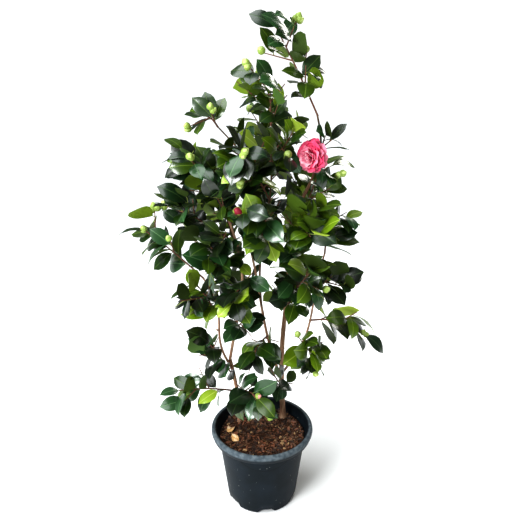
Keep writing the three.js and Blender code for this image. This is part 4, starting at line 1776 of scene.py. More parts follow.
@dataclass(frozen=True)
class LeafPose:
    """How one leaf differs from the next: its bend, its twist and the waves of its edges."""

    bend: float
    twist: float
    wave: float
    phase: float
    narrow: float

    def arc(self, t: Vec) -> tuple[Vec, Vec, Vec]:
        """The course of the bent midrib.

        Args:
            t: Shares of the leaf's length.

        Returns:
            How far along and above its straight line the midrib runs at each, and its slope there.
        """
        angle = self.bend * (t - 0.5)
        run = (np.sin(angle) + math.sin(0.5 * self.bend)) / self.bend
        rise = (np.cos(angle) - math.cos(0.5 * self.bend)) / self.bend
        return run, rise, angle

    @classmethod
    def thrown(cls, dice: Dice) -> "LeafPose":
        """Throws the dice for a pose.

        Args:
            dice: The dice.

        Returns:
            The pose.
        """
        return cls(
            bend=dice.between(0.3, 1.3),
            twist=dice.either_side(0.45),
            wave=dice.between(0.004, 0.022),
            phase=dice.between(0.0, FULL_TURN),
            narrow=dice.between(0.9, 1.06),
        )


LEAF_PLACES = 3  # material places of a leaf: upper face, midrib and lower face
STALK = 0.09  # share of a leaf that is its stalk
EDGE_WAVES = 9.0  # how fast an edge waves along the leaf
FULL_WAVE = 0.27  # how far from the midrib an edge has its full wave


def posed(corners: Vec, leaf: Leaf, pose: LeafPose) -> Vec:
    """The pattern's corners on a leaf, bent along it, twisted and waved.

    Args:
        corners: The corners of the leaf pattern, at a length of 1.
        leaf: The leaf's place and directions.
        pose: How this leaf differs from the next.

    Returns:
        The corners in place.
    """
    t = STALK + (1.0 - STALK) * corners[:, 1]
    run, rise, angle = pose.arc(t)
    s = corners[:, 0] * pose.narrow
    wave = pose.wave * np.sin(pose.phase + EDGE_WAVES * t) * (s / FULL_WAVE) ** 2 * np.sign(s)
    height = corners[:, 2] + wave
    twist = pose.twist * (t - STALK)
    normal = np.outer(np.cos(angle), leaf.face) + np.outer(np.sin(angle), leaf.out)
    side = np.outer(np.cos(twist), leaf.cross) + normal * np.sin(twist)[:, None]
    normal = normal * np.cos(twist)[:, None] - np.outer(np.sin(twist), leaf.cross)
    middle = np.outer(run, leaf.out) + np.outer(rise, leaf.face)
    return leaf.base + leaf.length * (middle + side * s[:, None] + normal * height[:, None])


class Zone(Enum):
    """The zones whose leaves are joined, from the top down, by their lowest leader's tip."""

    UPPER = 0.76
    MIDDLE = 0.53
    LOWER = 0.0


@dataclass(frozen=True)
class OpeningBud:
    """A bud that has begun to open: the finish of its core, and how much larger it is."""

    core: int = 0
    swollen: float = 1.0


CLOSED_BUD = OpeningBud()


@dataclass
class Foliage:
    """All the masses, grown and then joined by kind: leaves, stems and buds."""

    limbs: dict[str, Limb]
    bloom: "Bloom"
    kit: EffectKit
    stalk_radii: Point = (0.0010, 0.0009, 0.0007)
    stalk_steps: Point = (0.0, 0.5, 1.25)  # where they lie, as shares of the stalk
    stalk_sides: int = 4
    twig_sides: int = 6
    twig_rings: int = 5
    turn_out: float = 0.30  # the most that a leaf turns about its midrib to face out of the flat crown
    stray_turn: float = 0.55  # the most that it turns away again, by the dice
    drifts: tuple[int, ...] = (-2, -1, 0, 1, 2)  # steps of tint between a twig and a leaf on it
    drift_weights: tuple[float, ...] = (0.10, 0.22, 0.38, 0.20, 0.10)
    flatness: Span = (0.5, 2.2)  # weights, along x and y, of what faces out of the flat crown
    sunny_from: float = 0.02  # see Mass.light_mix, which paints light and shade into the tints
    upper_from: float = 0.855
    low_to: float = 0.33
    leading_bud: str = "bottom_front"  # the mass with a bud at its leader's tip too
    pink_bud: OpeningBud = OpeningBud(core=2, swollen=1.1)  # the leading one
    red_mass: str = "centre_front"
    red_bud: OpeningBud = OpeningBud(core=3, swollen=1.4)  # the first one on the red mass
    masses: list[Mass] = field(init=False)

    def __post_init__(self) -> None:
        """Lays out the spaces of the masses between the limbs and the bloom."""
        leaders = []
        for plan in MASSES:
            course = (np.array(plan.tip), (0.0, 0.0, plan.rise))
            start = self.limbs[plan.on].seat(plan.at, TWIG.leader_radius, *course)
            leaders.append(BentLine(start, *course))
        spaces = Spaces(leaders, [plan.reach for plan in MASSES])
        for limb in self.limbs.values():
            spaces.add_obstacle(limb.line, *limb.plan.radii, limb.plan.flare)
        spaces.add_obstacle(self.bloom.spur, TWIG.radius, TWIG.radius)
        spaces.add_obstacle(self.bloom.view(), self.bloom.radius, self.bloom.radius)
        spaces.settle()
        self.masses = [Mass(plan, k, leaders[k], spaces) for k, plan in enumerate(MASSES)]

    def grow(self) -> None:
        """Grows every mass and gives each stem its tint."""
        for mass in self.masses:
            mass.grow()
            # painted light and shade: each stem's tint is picked by where its mass stands in the light
            light_mix = mass.light_mix(self.sunny_from, self.upper_from, self.low_to)
            for stem in mass.stems:
                stem.tint = mass.dice.pick(light_mix.value)
        leaves = sum(len(mass.blades.leaves) for mass in self.masses)
        stems = sum(len(mass.stems) for mass in self.masses)
        LOG.info("foliage: %d masses, %d twigs, %d leaves", len(self.masses), stems, leaves)

    def in_zone(self, zone: Zone) -> list[Mass]:
        """The masses of a zone, by the height of their leaders' tips.

        Args:
            zone: The zone.

        Returns:
            Its masses, in their own order.
        """
        above = [other.value for other in Zone if other.value > zone.value]
        top = min(above, default=math.inf)
        return [mass for mass in self.masses if zone.value <= mass.plan.tip[2] < top]

    def build(self) -> None:
        """Makes the joined pieces of leaves, stems and buds."""
        leaf, stems = LeafForm().model(), Heap()
        finishes = [finish.material(self.kit) for tint in Tint for finish in tint.finishes()]
        for zone in Zone:
            heap, masses = Heap(), self.in_zone(zone)
            for mass in masses:
                self.lay_leaves(heap, stems, leaf, mass)
            nodes = [mass.plan.name for mass in masses]
            heap.build(f"leaves_{zone.name.lower()}", finishes, "foliage", *nodes)
        self.build_stems(stems)
        self.build_buds()

    def lay_leaves(self, heap: Heap, stems: Heap, pattern: Pattern, mass: Mass) -> None:
        """Lays a mass's leaves, each in a pose of its own and on its own stalk.

        Args:
            heap: The heap that takes the leaves.
            stems: The heap that takes their stalks.
            pattern: The leaf's pattern.
            mass: The mass whose leaves are laid.
        """
        steps = np.array(self.stalk_steps) * STALK
        for leaf in mass.blades.leaves:
            pose = LeafPose.thrown(mass.dice)
            drift = self.drifts[mass.dice.pick(self.drift_weights)]
            tint = max(0, min(len(Tint) - 1, mass.stems[leaf.stem].tint + drift))
            self.face_out(leaf, mass.dice.either_side())
            heap.add(posed(pattern.corners, leaf, pose), pattern.faces,
                     [LEAF_PLACES * tint + place for place in pattern.finishes])
            run, rise, _ = pose.arc(steps)
            middles = np.outer(run, leaf.out) + np.outer(rise - rise[0], leaf.face)
            stems.add_tube(leaf.base + leaf.length * middles, np.array(self.stalk_radii),
                           self.stalk_sides, finish=1)

    def face_out(self, leaf: Leaf, stray: float) -> None:
        """Turns a leaf about its midrib to face out of the flat crown, with a stray turn to a side.

        Args:
            leaf: The leaf, whose own directions are changed.
            stray: Which way it strays, and how far, from -1 to 1.
        """
        outward = (leaf.base - CROWN_AXIS)[:2] * self.flatness
        aim = UP + np.array([*outward, 0.0]) / np.linalg.norm(outward)
        aim = unit(aim - leaf.out * dots(aim, leaf.out))
        angle = math.atan2(dots(np.cross(leaf.face, aim), leaf.out), dots(leaf.face, aim))
        angle = max(-self.turn_out, min(self.turn_out, angle)) + self.stray_turn * stray
        leaf.face = turned(leaf.face, leaf.out, angle)
        leaf.cross = np.cross(leaf.out, leaf.face)

    def build_stems(self, heap: Heap) -> None:
        """Makes the twigs and shoots of every mass one piece with the leaf stalks.

        Args:
            heap: The heap that holds the stalks.
        """
        for mass in self.masses:
            for stem in mass.stems:
                start = -SUNK if stem.line is mass.leader else 0.0
                shares = np.linspace(start, 1.0, self.twig_rings)
                radii = stem.radius + (stem.tip_radius - stem.radius) * shares
                heap.add_tube(stem.line.point(shares), radii, self.twig_sides, int(stem.green))
        finishes = [TWIG_BARK.material(self.kit), GREEN_SHOOT.material(self.kit)]
        heap.build("twigs_and_stalks", finishes, "bark")

    def build_buds(self) -> None:
        """Makes the buds of every mass as one piece."""
        form, heap = BudForm(), Heap()
        pattern = form.model()
        for mass in self.masses:
            opening = CLOSED_BUD
            if mass.plan.name == self.leading_bud:
                mass.buds.insert(0, (mass.bud_line(mass.leader), 0))
                opening = self.pink_bud
            elif mass.plan.name == self.red_mass:
                opening = self.red_bud
            for line, _ in mass.buds:
                form.lay(heap, pattern, line, mass.dice, opening)
                opening = CLOSED_BUD
        heap.build("buds", [finish.material(self.kit) for finish in BUD_FINISHES], "foliage")


@dataclass
class BudForm:
    """A plump flower bud wrapped in overlapping scales, modelled once at a length of 1."""

    radius: float = 0.4
    low: float = 0.8  # the further below 1, the lower the bud is widest
    plump: float = 0.75  # the further below 1, the plumper its ends are
    sizes: Span = (0.70, 0.90)  # of a bud, as shares of the rule's length
    segments: int = 12
    rings: int = 8
    scales: int = 5
    scale_cells: int = 4
    scale_turn: float = math.radians(144)  # between one scale and the next
    scale_reach: float = 1.15  # half the angle that a scale spans round the bud
    scale_foot: float = 0.03  # how high up the bud a scale starts
    scale_tips: Span = (0.5, 0.09)  # how high up the first one ends, and how much higher each next one
    scale_point: float = 0.98  # the nearer to 1, the more pointed its tip
    scale_off: Point = (1.05, 0.015, 0.03)  # how far off the axis it lies: its foot, each next one, its tip
    scale_thickness: float = 0.03

    def egg(self, share: float, turn: float, swollen: float = 1.0) -> Point:
        """A place on the bud's egg, or as far off its axis as a factor says.

        Args:
            share: The share of its height.
            turn: The turn round it.
            swollen: The factor.

        Returns:
            The place.
        """
        radius = 0.0
        if 0.0 < share < 1.0:
            radius = self.radius * swollen * math.sin(math.pi * share ** self.low) ** self.plump
        return radius * math.cos(turn), radius * math.sin(turn), share

    def model(self) -> Pattern:
        """Models the core from a sphere and its scales from grids.

        Returns:
            The pattern: the bud stands up z, with the places 0 for the core and 1 for the scales.
        """
        deselect_all()
        bpy.ops.mesh.primitive_uv_sphere_add(segments=self.segments, ring_count=self.rings, radius=1.0)
        core = bpy.context.object

        def onto_egg(corner: Vector) -> Point:
            """The place on the egg of a corner of the sphere."""
            share = 0.5 + math.asin(max(-1.0, min(1.0, corner.z))) / math.pi
            return self.egg(share, math.atan2(corner.y, corner.x))

        reshape(core, onto_egg)
        parts = [Pattern.taken_from(core)]
        parts += [Pattern.taken_from(self.scale(k), 1) for k in range(self.scales)]
        return Pattern.together(parts)

    def scale(self, number: int) -> Piece:
        """Models one scale: a rounded flap that hugs the egg.

        Args:
            number: Its number, from the lowest.

        Returns:
            The scale.
        """
        first_tip, next_tip = self.scale_tips
        off, next_off, tip_off = self.scale_off
        high = first_tip + next_tip * number
        middle = number * self.scale_turn

        def onto_scale(corner: Vector) -> Point:
            """The place on the scale of a corner of the flat grid.

            Args:
                corner: The corner.

            Returns:
                Its place.
            """
            up = corner.y + 0.5
            narrow = math.sqrt(max(0.0, 1.0 - (self.scale_point * up) ** 3))
            share = self.scale_foot + (high - self.scale_foot) * up
            turn = middle + 2.0 * corner.x * self.scale_reach * narrow
            return self.egg(share, turn, off + next_off * number + tip_off * up)

        piece = shaped_grid(self.scale_cells, self.scale_cells, onto_scale)
        apply_modifier(piece, "SOLIDIFY", thickness=self.scale_thickness, offset=0.0)
        return piece

    def lay(self, heap: Heap, pattern: Pattern, line: BentLine, dice: Dice, opening: OpeningBud) -> None:
        """Lays a bud on its middle line.

        Args:
            heap: The heap that takes it.
            pattern: The bud's pattern.
            line: Its middle line, from foot to tip.
            dice: The dice for its size and its turn.
            opening: How far it has opened.
        """
        direction = line.tangent(0.0)
        side = spoke(direction, dice.between(0.0, FULL_TURN))
        size = BUD.length * dice.between(*self.sizes) * opening.swollen
        x, y, z = (pattern.corners * size).T
        other = np.cross(direction, side)
        corners = line.start + np.outer(x, side) + np.outer(y, other) + np.outer(z, direction)
        heap.add(corners, pattern.faces, [place or opening.core for place in pattern.finishes])

# ------------------------------------------------------------------ the bloom


@dataclass
class PetalForm:
    """One petal, modelled once at a length of 1."""

    cells: int = 10
    half_width: float = 0.41
    foot_width: float = 0.16  # of the half width, where the petal starts
    widening: float = 1.25  # the petal is at its full width at 1 / this share of its length
    widening_bend: float = 1.2
    round_from: float = 0.62  # share of its length where its end starts to round
    round_over: float = 0.475
    corners_fall: float = 0.10  # how far the corners of its end stay behind the middle
    notch: float = 0.04  # depth of the notch in the middle of its end
    notch_width: float = 0.25
    thickness: float = 0.018
    pale_from: float = 0.74  # share of its length past which its edge is paler: partly the petal's own paler edge, partly a painted highlight

    def outline(self, corner: Vector) -> Point:
        """The place on the petal of a corner of the flat grid.

        Args:
            corner: The corner.

        Returns:
            Its place: x across, y out, z up from the face.
        """
        u, v = 2.0 * corner.x, corner.y + 0.5
        wide = math.sin(0.5 * math.pi * min(1.0, self.widening * v)) ** self.widening_bend
        wide = self.foot_width + (1.0 - self.foot_width) * wide
        wide *= math.sqrt(1.0 - max(0.0, (v - self.round_from) / self.round_over) ** 2)
        tip = 1.0 - self.corners_fall * u * u - self.notch * math.exp(-((u / self.notch_width) ** 2))
        return self.half_width * u * wide, v * tip, 0.0

    def model(self) -> Pattern:
        """Models the petal from a grid.

        Returns:
            The pattern, with the material places 0 for the petal and 1 for its paler edge, which is partly a
            painted highlight.
        """
        piece = shaped_grid(self.cells, self.cells, self.outline)
        apply_modifier(piece, "SOLIDIFY", thickness=self.thickness, offset=0.0)
        pale = [int(face.center.y > self.pale_from) for face in piece.data.polygons]
        pattern = Pattern.taken_from(piece)
        pattern.finishes = pale
        return pattern


@dataclass(frozen=True)
class PetalRing:
    """One ring of petals: how many, how long, how far they open, and where they sit."""

    count: int
    length: float
    open: float  # angle out of the flower's plane
    lift: float  # how far forward of the outer ring they start
    cup: float
    finish: int


@dataclass
class Bloom:
    """The open flower on its short spur, with petals in rings round a furled heart."""

    limbs: dict[str, Limb]
    limb: str = "right_stem"
    at: float = 0.985  # share of that limb's length
    centre: Vec = field(default_factory=partial(np.array, (0.096, -0.04, 0.828)))
    faces: Vec = field(default_factory=partial(aimed, -0.36, -0.9, 0.12))  # as the solid does
    nods: Vec = field(default_factory=partial(aimed, -0.66, -0.73, -0.14))  # as its petals do
    radius: float = 0.032
    back: float = 0.0087  # from the centre to the foot of the petals
    room: float = 0.06
    bow: Point = (0.01, 0.004, 0.0)
    spur_rings: int = 9
    spur_sides: int = 8
    form: PetalForm = field(default_factory=PetalForm)
    seed: int = 77
    sepal_seed: int = 31
    turn_stray: float = 0.12
    open_stray: float = 0.14
    roll_stray: float = 0.28
    lengths: Span = (0.9, 1.06)  # of a petal, as shares of its ring's length
    odds: Span = (0.6, 0.4)  # of a petal in its ring's tone, and in the next paler one
    ruffle: float = 0.075
    ruffles: float = 4.5
    cup_across: float = 1.6
    cup_along: float = 0.5
    turned_back: float = 0.16  # how far the tip curls back
    rings: tuple[PetalRing, ...] = (
        PetalRing(9, 0.0350, 0.00, 0.0000, 0.10, 0),
        PetalRing(9, 0.0340, 0.18, 0.0012, 0.18, 0),
        PetalRing(9, 0.0322, 0.36, 0.0024, 0.26, 0),
        PetalRing(9, 0.0302, 0.52, 0.0034, 0.32, 0),
        PetalRing(9, 0.0280, 0.68, 0.0044, 0.38, 0),
        PetalRing(8, 0.0256, 0.82, 0.0052, 0.44, 1),
        PetalRing(8, 0.0234, 0.96, 0.0060, 0.50, 1),
        PetalRing(7, 0.0212, 1.10, 0.0068, 0.56, 1),
        PetalRing(6, 0.0190, 1.25, 0.0076, 0.64, 1),
        PetalRing(4, 0.0170, 1.42, 0.0084, 0.72, 1),
    )
    sepals: PetalRing = PetalRing(5, 0.012, 0.25, -0.0008, 0.5, 1)
    foot: Vec = field(init=False)
    spur: BentLine = field(init=False)

    def __post_init__(self) -> None:
        """Runs the spur from its limb to the flower's back."""
        self.foot = self.centre - self.faces * self.back
        start = self.limbs[self.limb].seat(self.at, TWIG.radius, self.foot, self.bow)
        self.spur = BentLine(start, self.foot, self.bow)

    def view(self) -> BentLine:
        """The free space kept in front of the flower."""
        return BentLine(self.centre, self.centre + self.faces * self.room)

    def build(self, kit: EffectKit) -> None:
        """Makes the petals as one piece, and the spur and sepals as another.

        Args:
            kit: The shared effects.
        """
        pattern, dice, heap = self.form.model(), Dice(self.seed), Heap()
        for row, ring in enumerate(self.rings):
            for k in range(ring.count):
                turn = FULL_TURN * (k + 0.5 * (row % 2)) / ring.count + dice.either_side(self.turn_stray)
                self.lay_petal(heap, pattern, ring, turn, dice)
        finishes = [finish.material(kit) for finish in PETAL_FINISHES]
        heap.build("bloom_petals", finishes, "blossom", "flower_spray")
        self.build_spur(kit, pattern)

    def lay_petal(self, heap: Heap, pattern: Pattern, ring: PetalRing, turn: float, dice: Dice,
                  finish: int | None = None) -> None:
        """Lays one petal, cupped along and across, with a ruffled edge.

        Args:
            heap: The heap that takes it.
            pattern: The petal's pattern.
            ring: The ring that it belongs to.
            turn: Its turn round the flower.
            dice: The dice for its size, its ruffle and its tone.
            finish: Its material place, where the dice don't choose it.
        """
        opened = ring.open + dice.either_side(self.open_stray)
        radial = spoke(self.nods, turn)
        out = radial * math.cos(opened) + self.nods * math.sin(opened)
        normal = self.nods * math.cos(opened) - radial * math.sin(opened)
        normal = turned(normal, out, dice.either_side(self.roll_stray))
        side = np.cross(out, normal)
        length = ring.length * dice.between(*self.lengths)
        phase = dice.between(0.0, FULL_TURN)
        x, y, z = pattern.corners.T
        ruffle = self.ruffle * np.sin(self.ruffles * x / self.form.half_width + phase) * y ** 3
        cup = ring.cup * (self.cup_across * x * x + self.cup_along * y * y)
        rise = z + cup - self.turned_back * y ** 4 + ruffle
        base = self.foot + self.nods * ring.lift
        corners = base + length * (np.outer(x, side) + np.outer(y, out) + np.outer(rise, normal))
        if finish is None:
            tone = ring.finish + dice.pick(self.odds)
            finishes = [tone + place for place in pattern.finishes]
        else:
            finishes = [finish] * len(pattern.faces)
        heap.add(corners, pattern.faces, finishes)

    def build_spur(self, kit: EffectKit, pattern: Pattern) -> None:
        """Makes the spur and the green sepals behind the petals.

        Args:
            kit: The shared effects.
            pattern: The petal's pattern, which the sepals share.
        """
        heap, dice, sepals = Heap(), Dice(self.sepal_seed), self.sepals
        shares = np.linspace(-SUNK, 1.0, self.spur_rings)
        heap.add_tube(self.spur.point(shares), np.full(self.spur_rings, TWIG.radius), self.spur_sides)
        for k in range(sepals.count):
            self.lay_petal(heap, pattern, sepals, FULL_TURN * k / sepals.count, dice, sepals.finish)
        heap.build("bloom_spur", [TWIG_BARK.material(kit), SEPAL.material(kit)], "bark")


# ------------------------------------------------------------------ pot and soil


@dataclass
class Pot:
    """A round moulded nursery pot with a beaded lip and drainage notches round its foot."""

    height: float = 0.19
    rim: float = 0.121
    foot: float = 0.083
    foot_edge: float = 0.0025  # the bevel between the underside and the wall
    start: float = 0.0004  # height of the low drum that the pot is drawn up from
    wall_rings: tuple[float, ...] = (0.012, 0.03, 0.06, 0.09, 0.12, 0.15)  # heights
    neck: float = 0.1035
    neck_height: float = 0.165
    collar: tuple[Span, ...] = ((0.0, 0.0), (0.0022, 0.0006), (0.0113, 0.0028), (0.0140, 0.0050))
    inner_collar: tuple[Span, ...] = ((0.0062, 0.0145), (0.005, 0.008), (0.0, -0.002))
    bead: Span = (0.0063, 0.0082)  # half the width and half the height of the lip's bead
    bead_from: float = -35.0  # degrees
    bead_sweep: float = 205.0
    bead_steps: int = 12
    wall: float = 0.002
    floor: float = 0.0115
    facets: int = 144
    kept_edge: float = math.radians(38)
    notches: int = 6
    notch_turn: float = 0.62
    notch_width: float = 0.036
    notch_flat: float = 0.42  # half the width of its flat top, as a share of its width
    notch_slope: float = 0.12  # width of the slope beside it
    notch_height: float = 0.008
    notch_reach: Point = (0.009, 0.004, 0.003)  # in and out from the foot, and up
    foot_ring: float = 0.010

    def wall_at(self, height: float) -> float:
        """The radius of the outer wall at a height."""
        return self.foot + (self.neck - self.foot) / self.neck_height * height

    def stations(self) -> list[Span]:
        """The rings of the wall, out, over the lip and down inside.

        Returns:
            The radius and height of each ring.
        """
        rows = [(self.foot, self.foot_edge)]
        rows += [(self.wall_at(height), height) for height in self.wall_rings]
        rows += [(self.neck + out, self.neck_height + up) for out, up in self.collar]
        wide, tall = self.bead
        for k in range(self.bead_steps + 1):
            turn = math.radians(self.bead_from + self.bead_sweep * k / self.bead_steps)
            rows.append((self.rim - wide + wide * math.cos(turn),
                         self.height - tall + tall * math.sin(turn)))
        inner = self.neck - self.wall
        rows += [(inner + out, self.neck_height + up) for out, up in self.inner_collar]
        rows.append((self.wall_at(self.floor) - self.wall, self.floor))
        return rows

    def build(self, kit: EffectKit) -> None:
        """Models the pot by extruding a low drum ring by ring, and dresses it.

        Args:
            kit: The shared effects.
        """
        deselect_all()
        radius, height = self.foot - self.foot_edge, self.start
        bpy.ops.mesh.primitive_cylinder_add(vertices=self.facets, radius=radius, depth=height,
                                            location=(0.0, 0.0, 0.5 * height))
        piece = bpy.context.object
        fix_place(piece, "nursery_pot")
        with editing(piece):
            select_cap(piece, up=True)
            for next_radius, next_height in self.stations():
                bpy.ops.mesh.extrude_region_move(
                    TRANSFORM_OT_translate={"value": (0.0, 0.0, next_height - height)}
                )
                ratio = next_radius / radius
                bpy.ops.transform.resize(value=(ratio, ratio, 1.0))
                radius, height = next_radius, next_height
            select_cap(piece, up=False)
            bpy.ops.mesh.inset(thickness=self.foot_ring)
        reshape(piece, self.notched)
        piece.data.materials.append(POT_PLASTIC.material(kit))
        smooth(piece, self.kept_edge)
        keep(piece, "pot_plastic", "pot")

    def notched(self, corner: Vector) -> Vector:
        """Lifts a corner of the foot's edge where it lies in a drainage notch.

        Args:
            corner: The corner.

        Returns:
            Its place in the notched foot.
        """
        within, beyond, up = self.notch_reach
        off_foot = math.hypot(corner.x, corner.y) - self.foot
        if corner.z > up or off_foot < -within or off_foot > beyond:
            return corner
        step = FULL_TURN / self.notches
        turn = (math.atan2(corner.y, corner.x) / step - self.notch_turn) % 1.0
        off = min(turn, 1.0 - turn) * step * self.foot / self.notch_width
        lift = 1.0 - min(1.0, max(0.0, (off - self.notch_flat) / self.notch_slope))
        corner.z += self.notch_height * lift
        return corner


@dataclass
class Soil:
    """The potting soil, whose lumpy top the litter lies on."""

    rim: float = 0.1009  # radius of its top
    foot: float = 0.0805
    bottom: float = 0.0120
    facets: int = 96
    rings: int = 26
    rings_stop: float = 1.5  # how many rings' width the middle stays free of rings
    flat: float = 0.0005  # corners within this of the top belong to it
    lumps: float = 0.0016
    lump_scale: float = 60.0  # lumps in a metre
    lump_slice: float = 0.3
    mound: float = 0.0012  # rise round a stem
    mound_width: float = 0.018
    edge_from: float = 0.86  # share of the radius where it starts to fall to the wall
    edge_fall: float = 0.012
    settled: float = 0.0012
    stems: tuple[Span, ...] = tuple(plan.foot for plan in LIMBS if plan.foot)
    rng: np.random.Generator = field(default_factory=partial(np.random.default_rng, 17))

    def height(self, x: float, y: float) -> float:
        """How high the soil lies at a place: lumpy, a little higher round the stems.

        Args:
            x: The place's x.
            y: The place's y.

        Returns:
            The height.
        """
        scale = self.lump_scale
        lump = noise.fractal(Vector((x * scale, y * scale, self.lump_slice)), *RELIEF_LAYERS)
        mound = sum(math.exp(-((x - a) ** 2 + (y - b) ** 2) / self.mound_width ** 2) for a, b in self.stems)
        edge = max(0.0, math.hypot(x, y) / self.rim - self.edge_from) * self.edge_fall
        return SOIL_TOP + self.lumps * lump + self.mound * mound - edge - self.settled

    def build(self, kit: EffectKit) -> None:
        """Models the soil from a cone with rings in its top.

        Args:
            kit: The shared effects.
        """
        deselect_all()
        bpy.ops.mesh.primitive_cone_add(vertices=self.facets, radius1=self.foot, radius2=self.rim,
                                        depth=SOIL_TOP - self.bottom, end_fill_type="NGON",
                                        location=(0.0, 0.0, 0.5 * (SOIL_TOP + self.bottom)))
        piece = bpy.context.object
        fix_place(piece, "soil")
        with editing(piece):
            select_cap(piece, up=True)
            for _ in range(self.rings):
                bpy.ops.mesh.inset(thickness=self.rim / (self.rings + self.rings_stop))
        reshape(piece, self.lumpy)
        piece.data.materials.append(SOIL_FINISH.material(kit))
        smooth(piece)
        keep(piece, "potting_soil", "potting_soil")

    def lumpy(self, corner: Vector) -> Vector:
        """A corner of the flat top, moved to the height of the soil there.

        Args:
            corner: The corner.

        Returns:
            Its place.
        """
        if corner.z > SOIL_TOP - self.flat:
            corner.z = self.height(corner.x, corner.y)
        return corner

    def spot(self, share: float) -> Span:
        """An even pick of a place on the soil.

        Args:
            share: The share of the soil's radius that it lies within.

        Returns:
            The place's x and y.
        """
        radius = self.rim * share * math.sqrt(self.rng.random())
        turn = self.rng.uniform(0.0, FULL_TURN)
        return radius * math.cos(turn), radius * math.sin(turn)


@dataclass
class Litter:
    """The bark chips, the fibres and the dry leaves on the soil."""

    soil: Soil
    chips: int = 1700
    chip_share: float = 0.975  # share of the soil's radius that the chips lie within
    chip_kinds: int = 4
    chip_lengths: Span = (0.0030, 0.0095)  # the shortest, and how much longer the longest is
    few_long: float = 2.4  # the higher, the fewer long ones there are
    chip_widths: Span = (0.22, 0.6)  # shares of the length
    chip_heights: Span = (0.18, 0.4)
    chip_tilt: float = 0.35
    chip_clear: float = 0.25  # share of its height by which its middle lies above the soil
    chip_odds: tuple[float, ...] = (0.42, 0.35, 0.17, 0.06)  # of each finish
    kept_edge: float = math.radians(35)
    ragged_seed: int = 17  # of the noise that gives the chips their shapes
    ragged_scale: float = 1.7
    ragged_pull: float = 0.16
    round_from: float = 0.62  # corners further from the middle than this are drawn in
    round_share: float = 0.6
    fibres: int = 110
    fibre_share: float = 0.9
    fibre_edge: float = 0.97
    fibre_lengths: Span = (0.008, 0.024)
    fibre_bend: float = 1.4
    fibre_lift: Span = (0.0014, 0.0006)  # above the soil, and how far it waves
    fibre_wave: float = 1.9
    fibre_points: int = 6
    fibre_radii: Span = (0.0002, 0.0005)
    fibre_sides: int = 5
    fibre_places: tuple[int, ...] = (1, 2, 3)  # of the chips' finishes
    leaves: tuple[tuple[float, float, float, float], ...] = (
        (-0.086, -0.006, 0.75, 0.6),  # x, y, turn and lean of each dry leaf
        (-0.052, -0.040, 2.6, -0.35),
    )
    leaf_length: float = 0.027
    leaf_rise: float = 0.1
    leaf_lift: float = 0.003
    leaf_curl: float = 1.1

    def build(self, kit: EffectKit) -> None:
        """Lays the chips and fibres over the soil as one piece, and the dry leaves as another.

        Args:
            kit: The shared effects.
        """
        noise.seed_set(self.ragged_seed)
        heap, patterns = Heap(), [self.chip(seed) for seed in range(self.chip_kinds)]
        for _ in range(self.chips):
            self.lay_chip(heap, patterns)
        for _ in range(self.fibres):
            self.lay_fibre(heap)
        finishes = [finish.material(kit) for finish in CHIP_FINISHES]
        heap.build("bark_chips", finishes, "potting_soil", angle=self.kept_edge)
        self.build_dry_leaves(kit)

    def chip(self, seed: int) -> Pattern:
        """Models one ragged chip from a cube, at a length of about 1.

        Args:
            seed: What makes it differ from the others.

        Returns:
            The chip's pattern.
        """
        deselect_all()
        bpy.ops.mesh.primitive_cube_add(size=1.0)
        piece = bpy.context.object
        with editing(piece):
            bpy.ops.mesh.subdivide(number_cuts=1)

        def ragged(corner: Vector) -> Vector:
            """Pulls a corner of the cube about and rounds it off.

            Args:
                corner: The corner.

            Returns:
                Its place on the chip.
            """
            pull = noise.noise_vector(corner * self.ragged_scale + Vector((seed, 0.0, 0.0)))
            drawn_in = self.round_from / max(self.round_from, corner.length)
            share = 1.0 - self.round_share + self.round_share * drawn_in
            return corner * share + pull * self.ragged_pull

        reshape(piece, ragged)
        return Pattern.taken_from(piece)

    def lay_chip(self, heap: Heap, patterns: list[Pattern]) -> None:
        """Lays one chip on the soil.

        Args:
            heap: The heap that takes it.
            patterns: The kinds of chips.
        """
        rng = self.soil.rng
        x, y = self.soil.spot(self.chip_share)
        short, longer = self.chip_lengths
        long = short + longer * rng.random() ** self.few_long
        size = np.array([long, long * rng.uniform(*self.chip_widths), long * rng.uniform(*self.chip_heights)])
        turn, tilt = rng.uniform(0.0, FULL_TURN), rng.normal(0.0, self.chip_tilt)
        pattern = patterns[rng.integers(len(patterns))]
        corners = self.laid(pattern.corners * size, turn, tilt)
        corners += (x, y, self.soil.height(x, y) + self.chip_clear * size[2])
        finish = int(rng.choice(len(self.chip_odds), p=self.chip_odds))
        heap.add(corners, pattern.faces, [finish] * len(pattern.faces))

    @staticmethod
    def laid(corners: Vec, turn: float, tilt: float) -> Vec:
        """Corners tilted about y and then turned about z.

        Args:
            corners: The corners.
            turn: How far they turn.
            tilt: How far they tilt.

        Returns:
            The corners in place.
        """
        x, y, z = corners.T
        x, z = x * math.cos(tilt) + z * math.sin(tilt), z * math.cos(tilt) - x * math.sin(tilt)
        return np.stack([x * math.cos(turn) - y * math.sin(turn),
                         x * math.sin(turn) + y * math.cos(turn), z], axis=1)

    def lay_fibre(self, heap: Heap) -> None:
        """Lays one thin curved fibre on the soil, unless it runs into the wall.

        Args:
            heap: The heap that takes it.
        """
        rng, soil = self.soil.rng, self.soil
        x, y = soil.spot(self.fibre_share)
        turn, bend = rng.uniform(0.0, FULL_TURN), rng.normal(0.0, self.fibre_bend)
        step = rng.uniform(*self.fibre_lengths) / (self.fibre_points - 1)
        lift, wave = self.fibre_lift
        points = []
        for k in range(self.fibre_points):
            points.append((x, y, soil.height(x, y) + lift + wave * math.sin(self.fibre_wave * k)))
            x += math.cos(turn) * step
            y += math.sin(turn) * step
            turn += bend / (self.fibre_points - 1)
            if math.hypot(x, y) > self.fibre_edge * soil.rim:
                return
        radii = np.full(self.fibre_points, rng.uniform(*self.fibre_radii))
        heap.add_tube(np.array(points), radii, self.fibre_sides, int(rng.choice(self.fibre_places)))

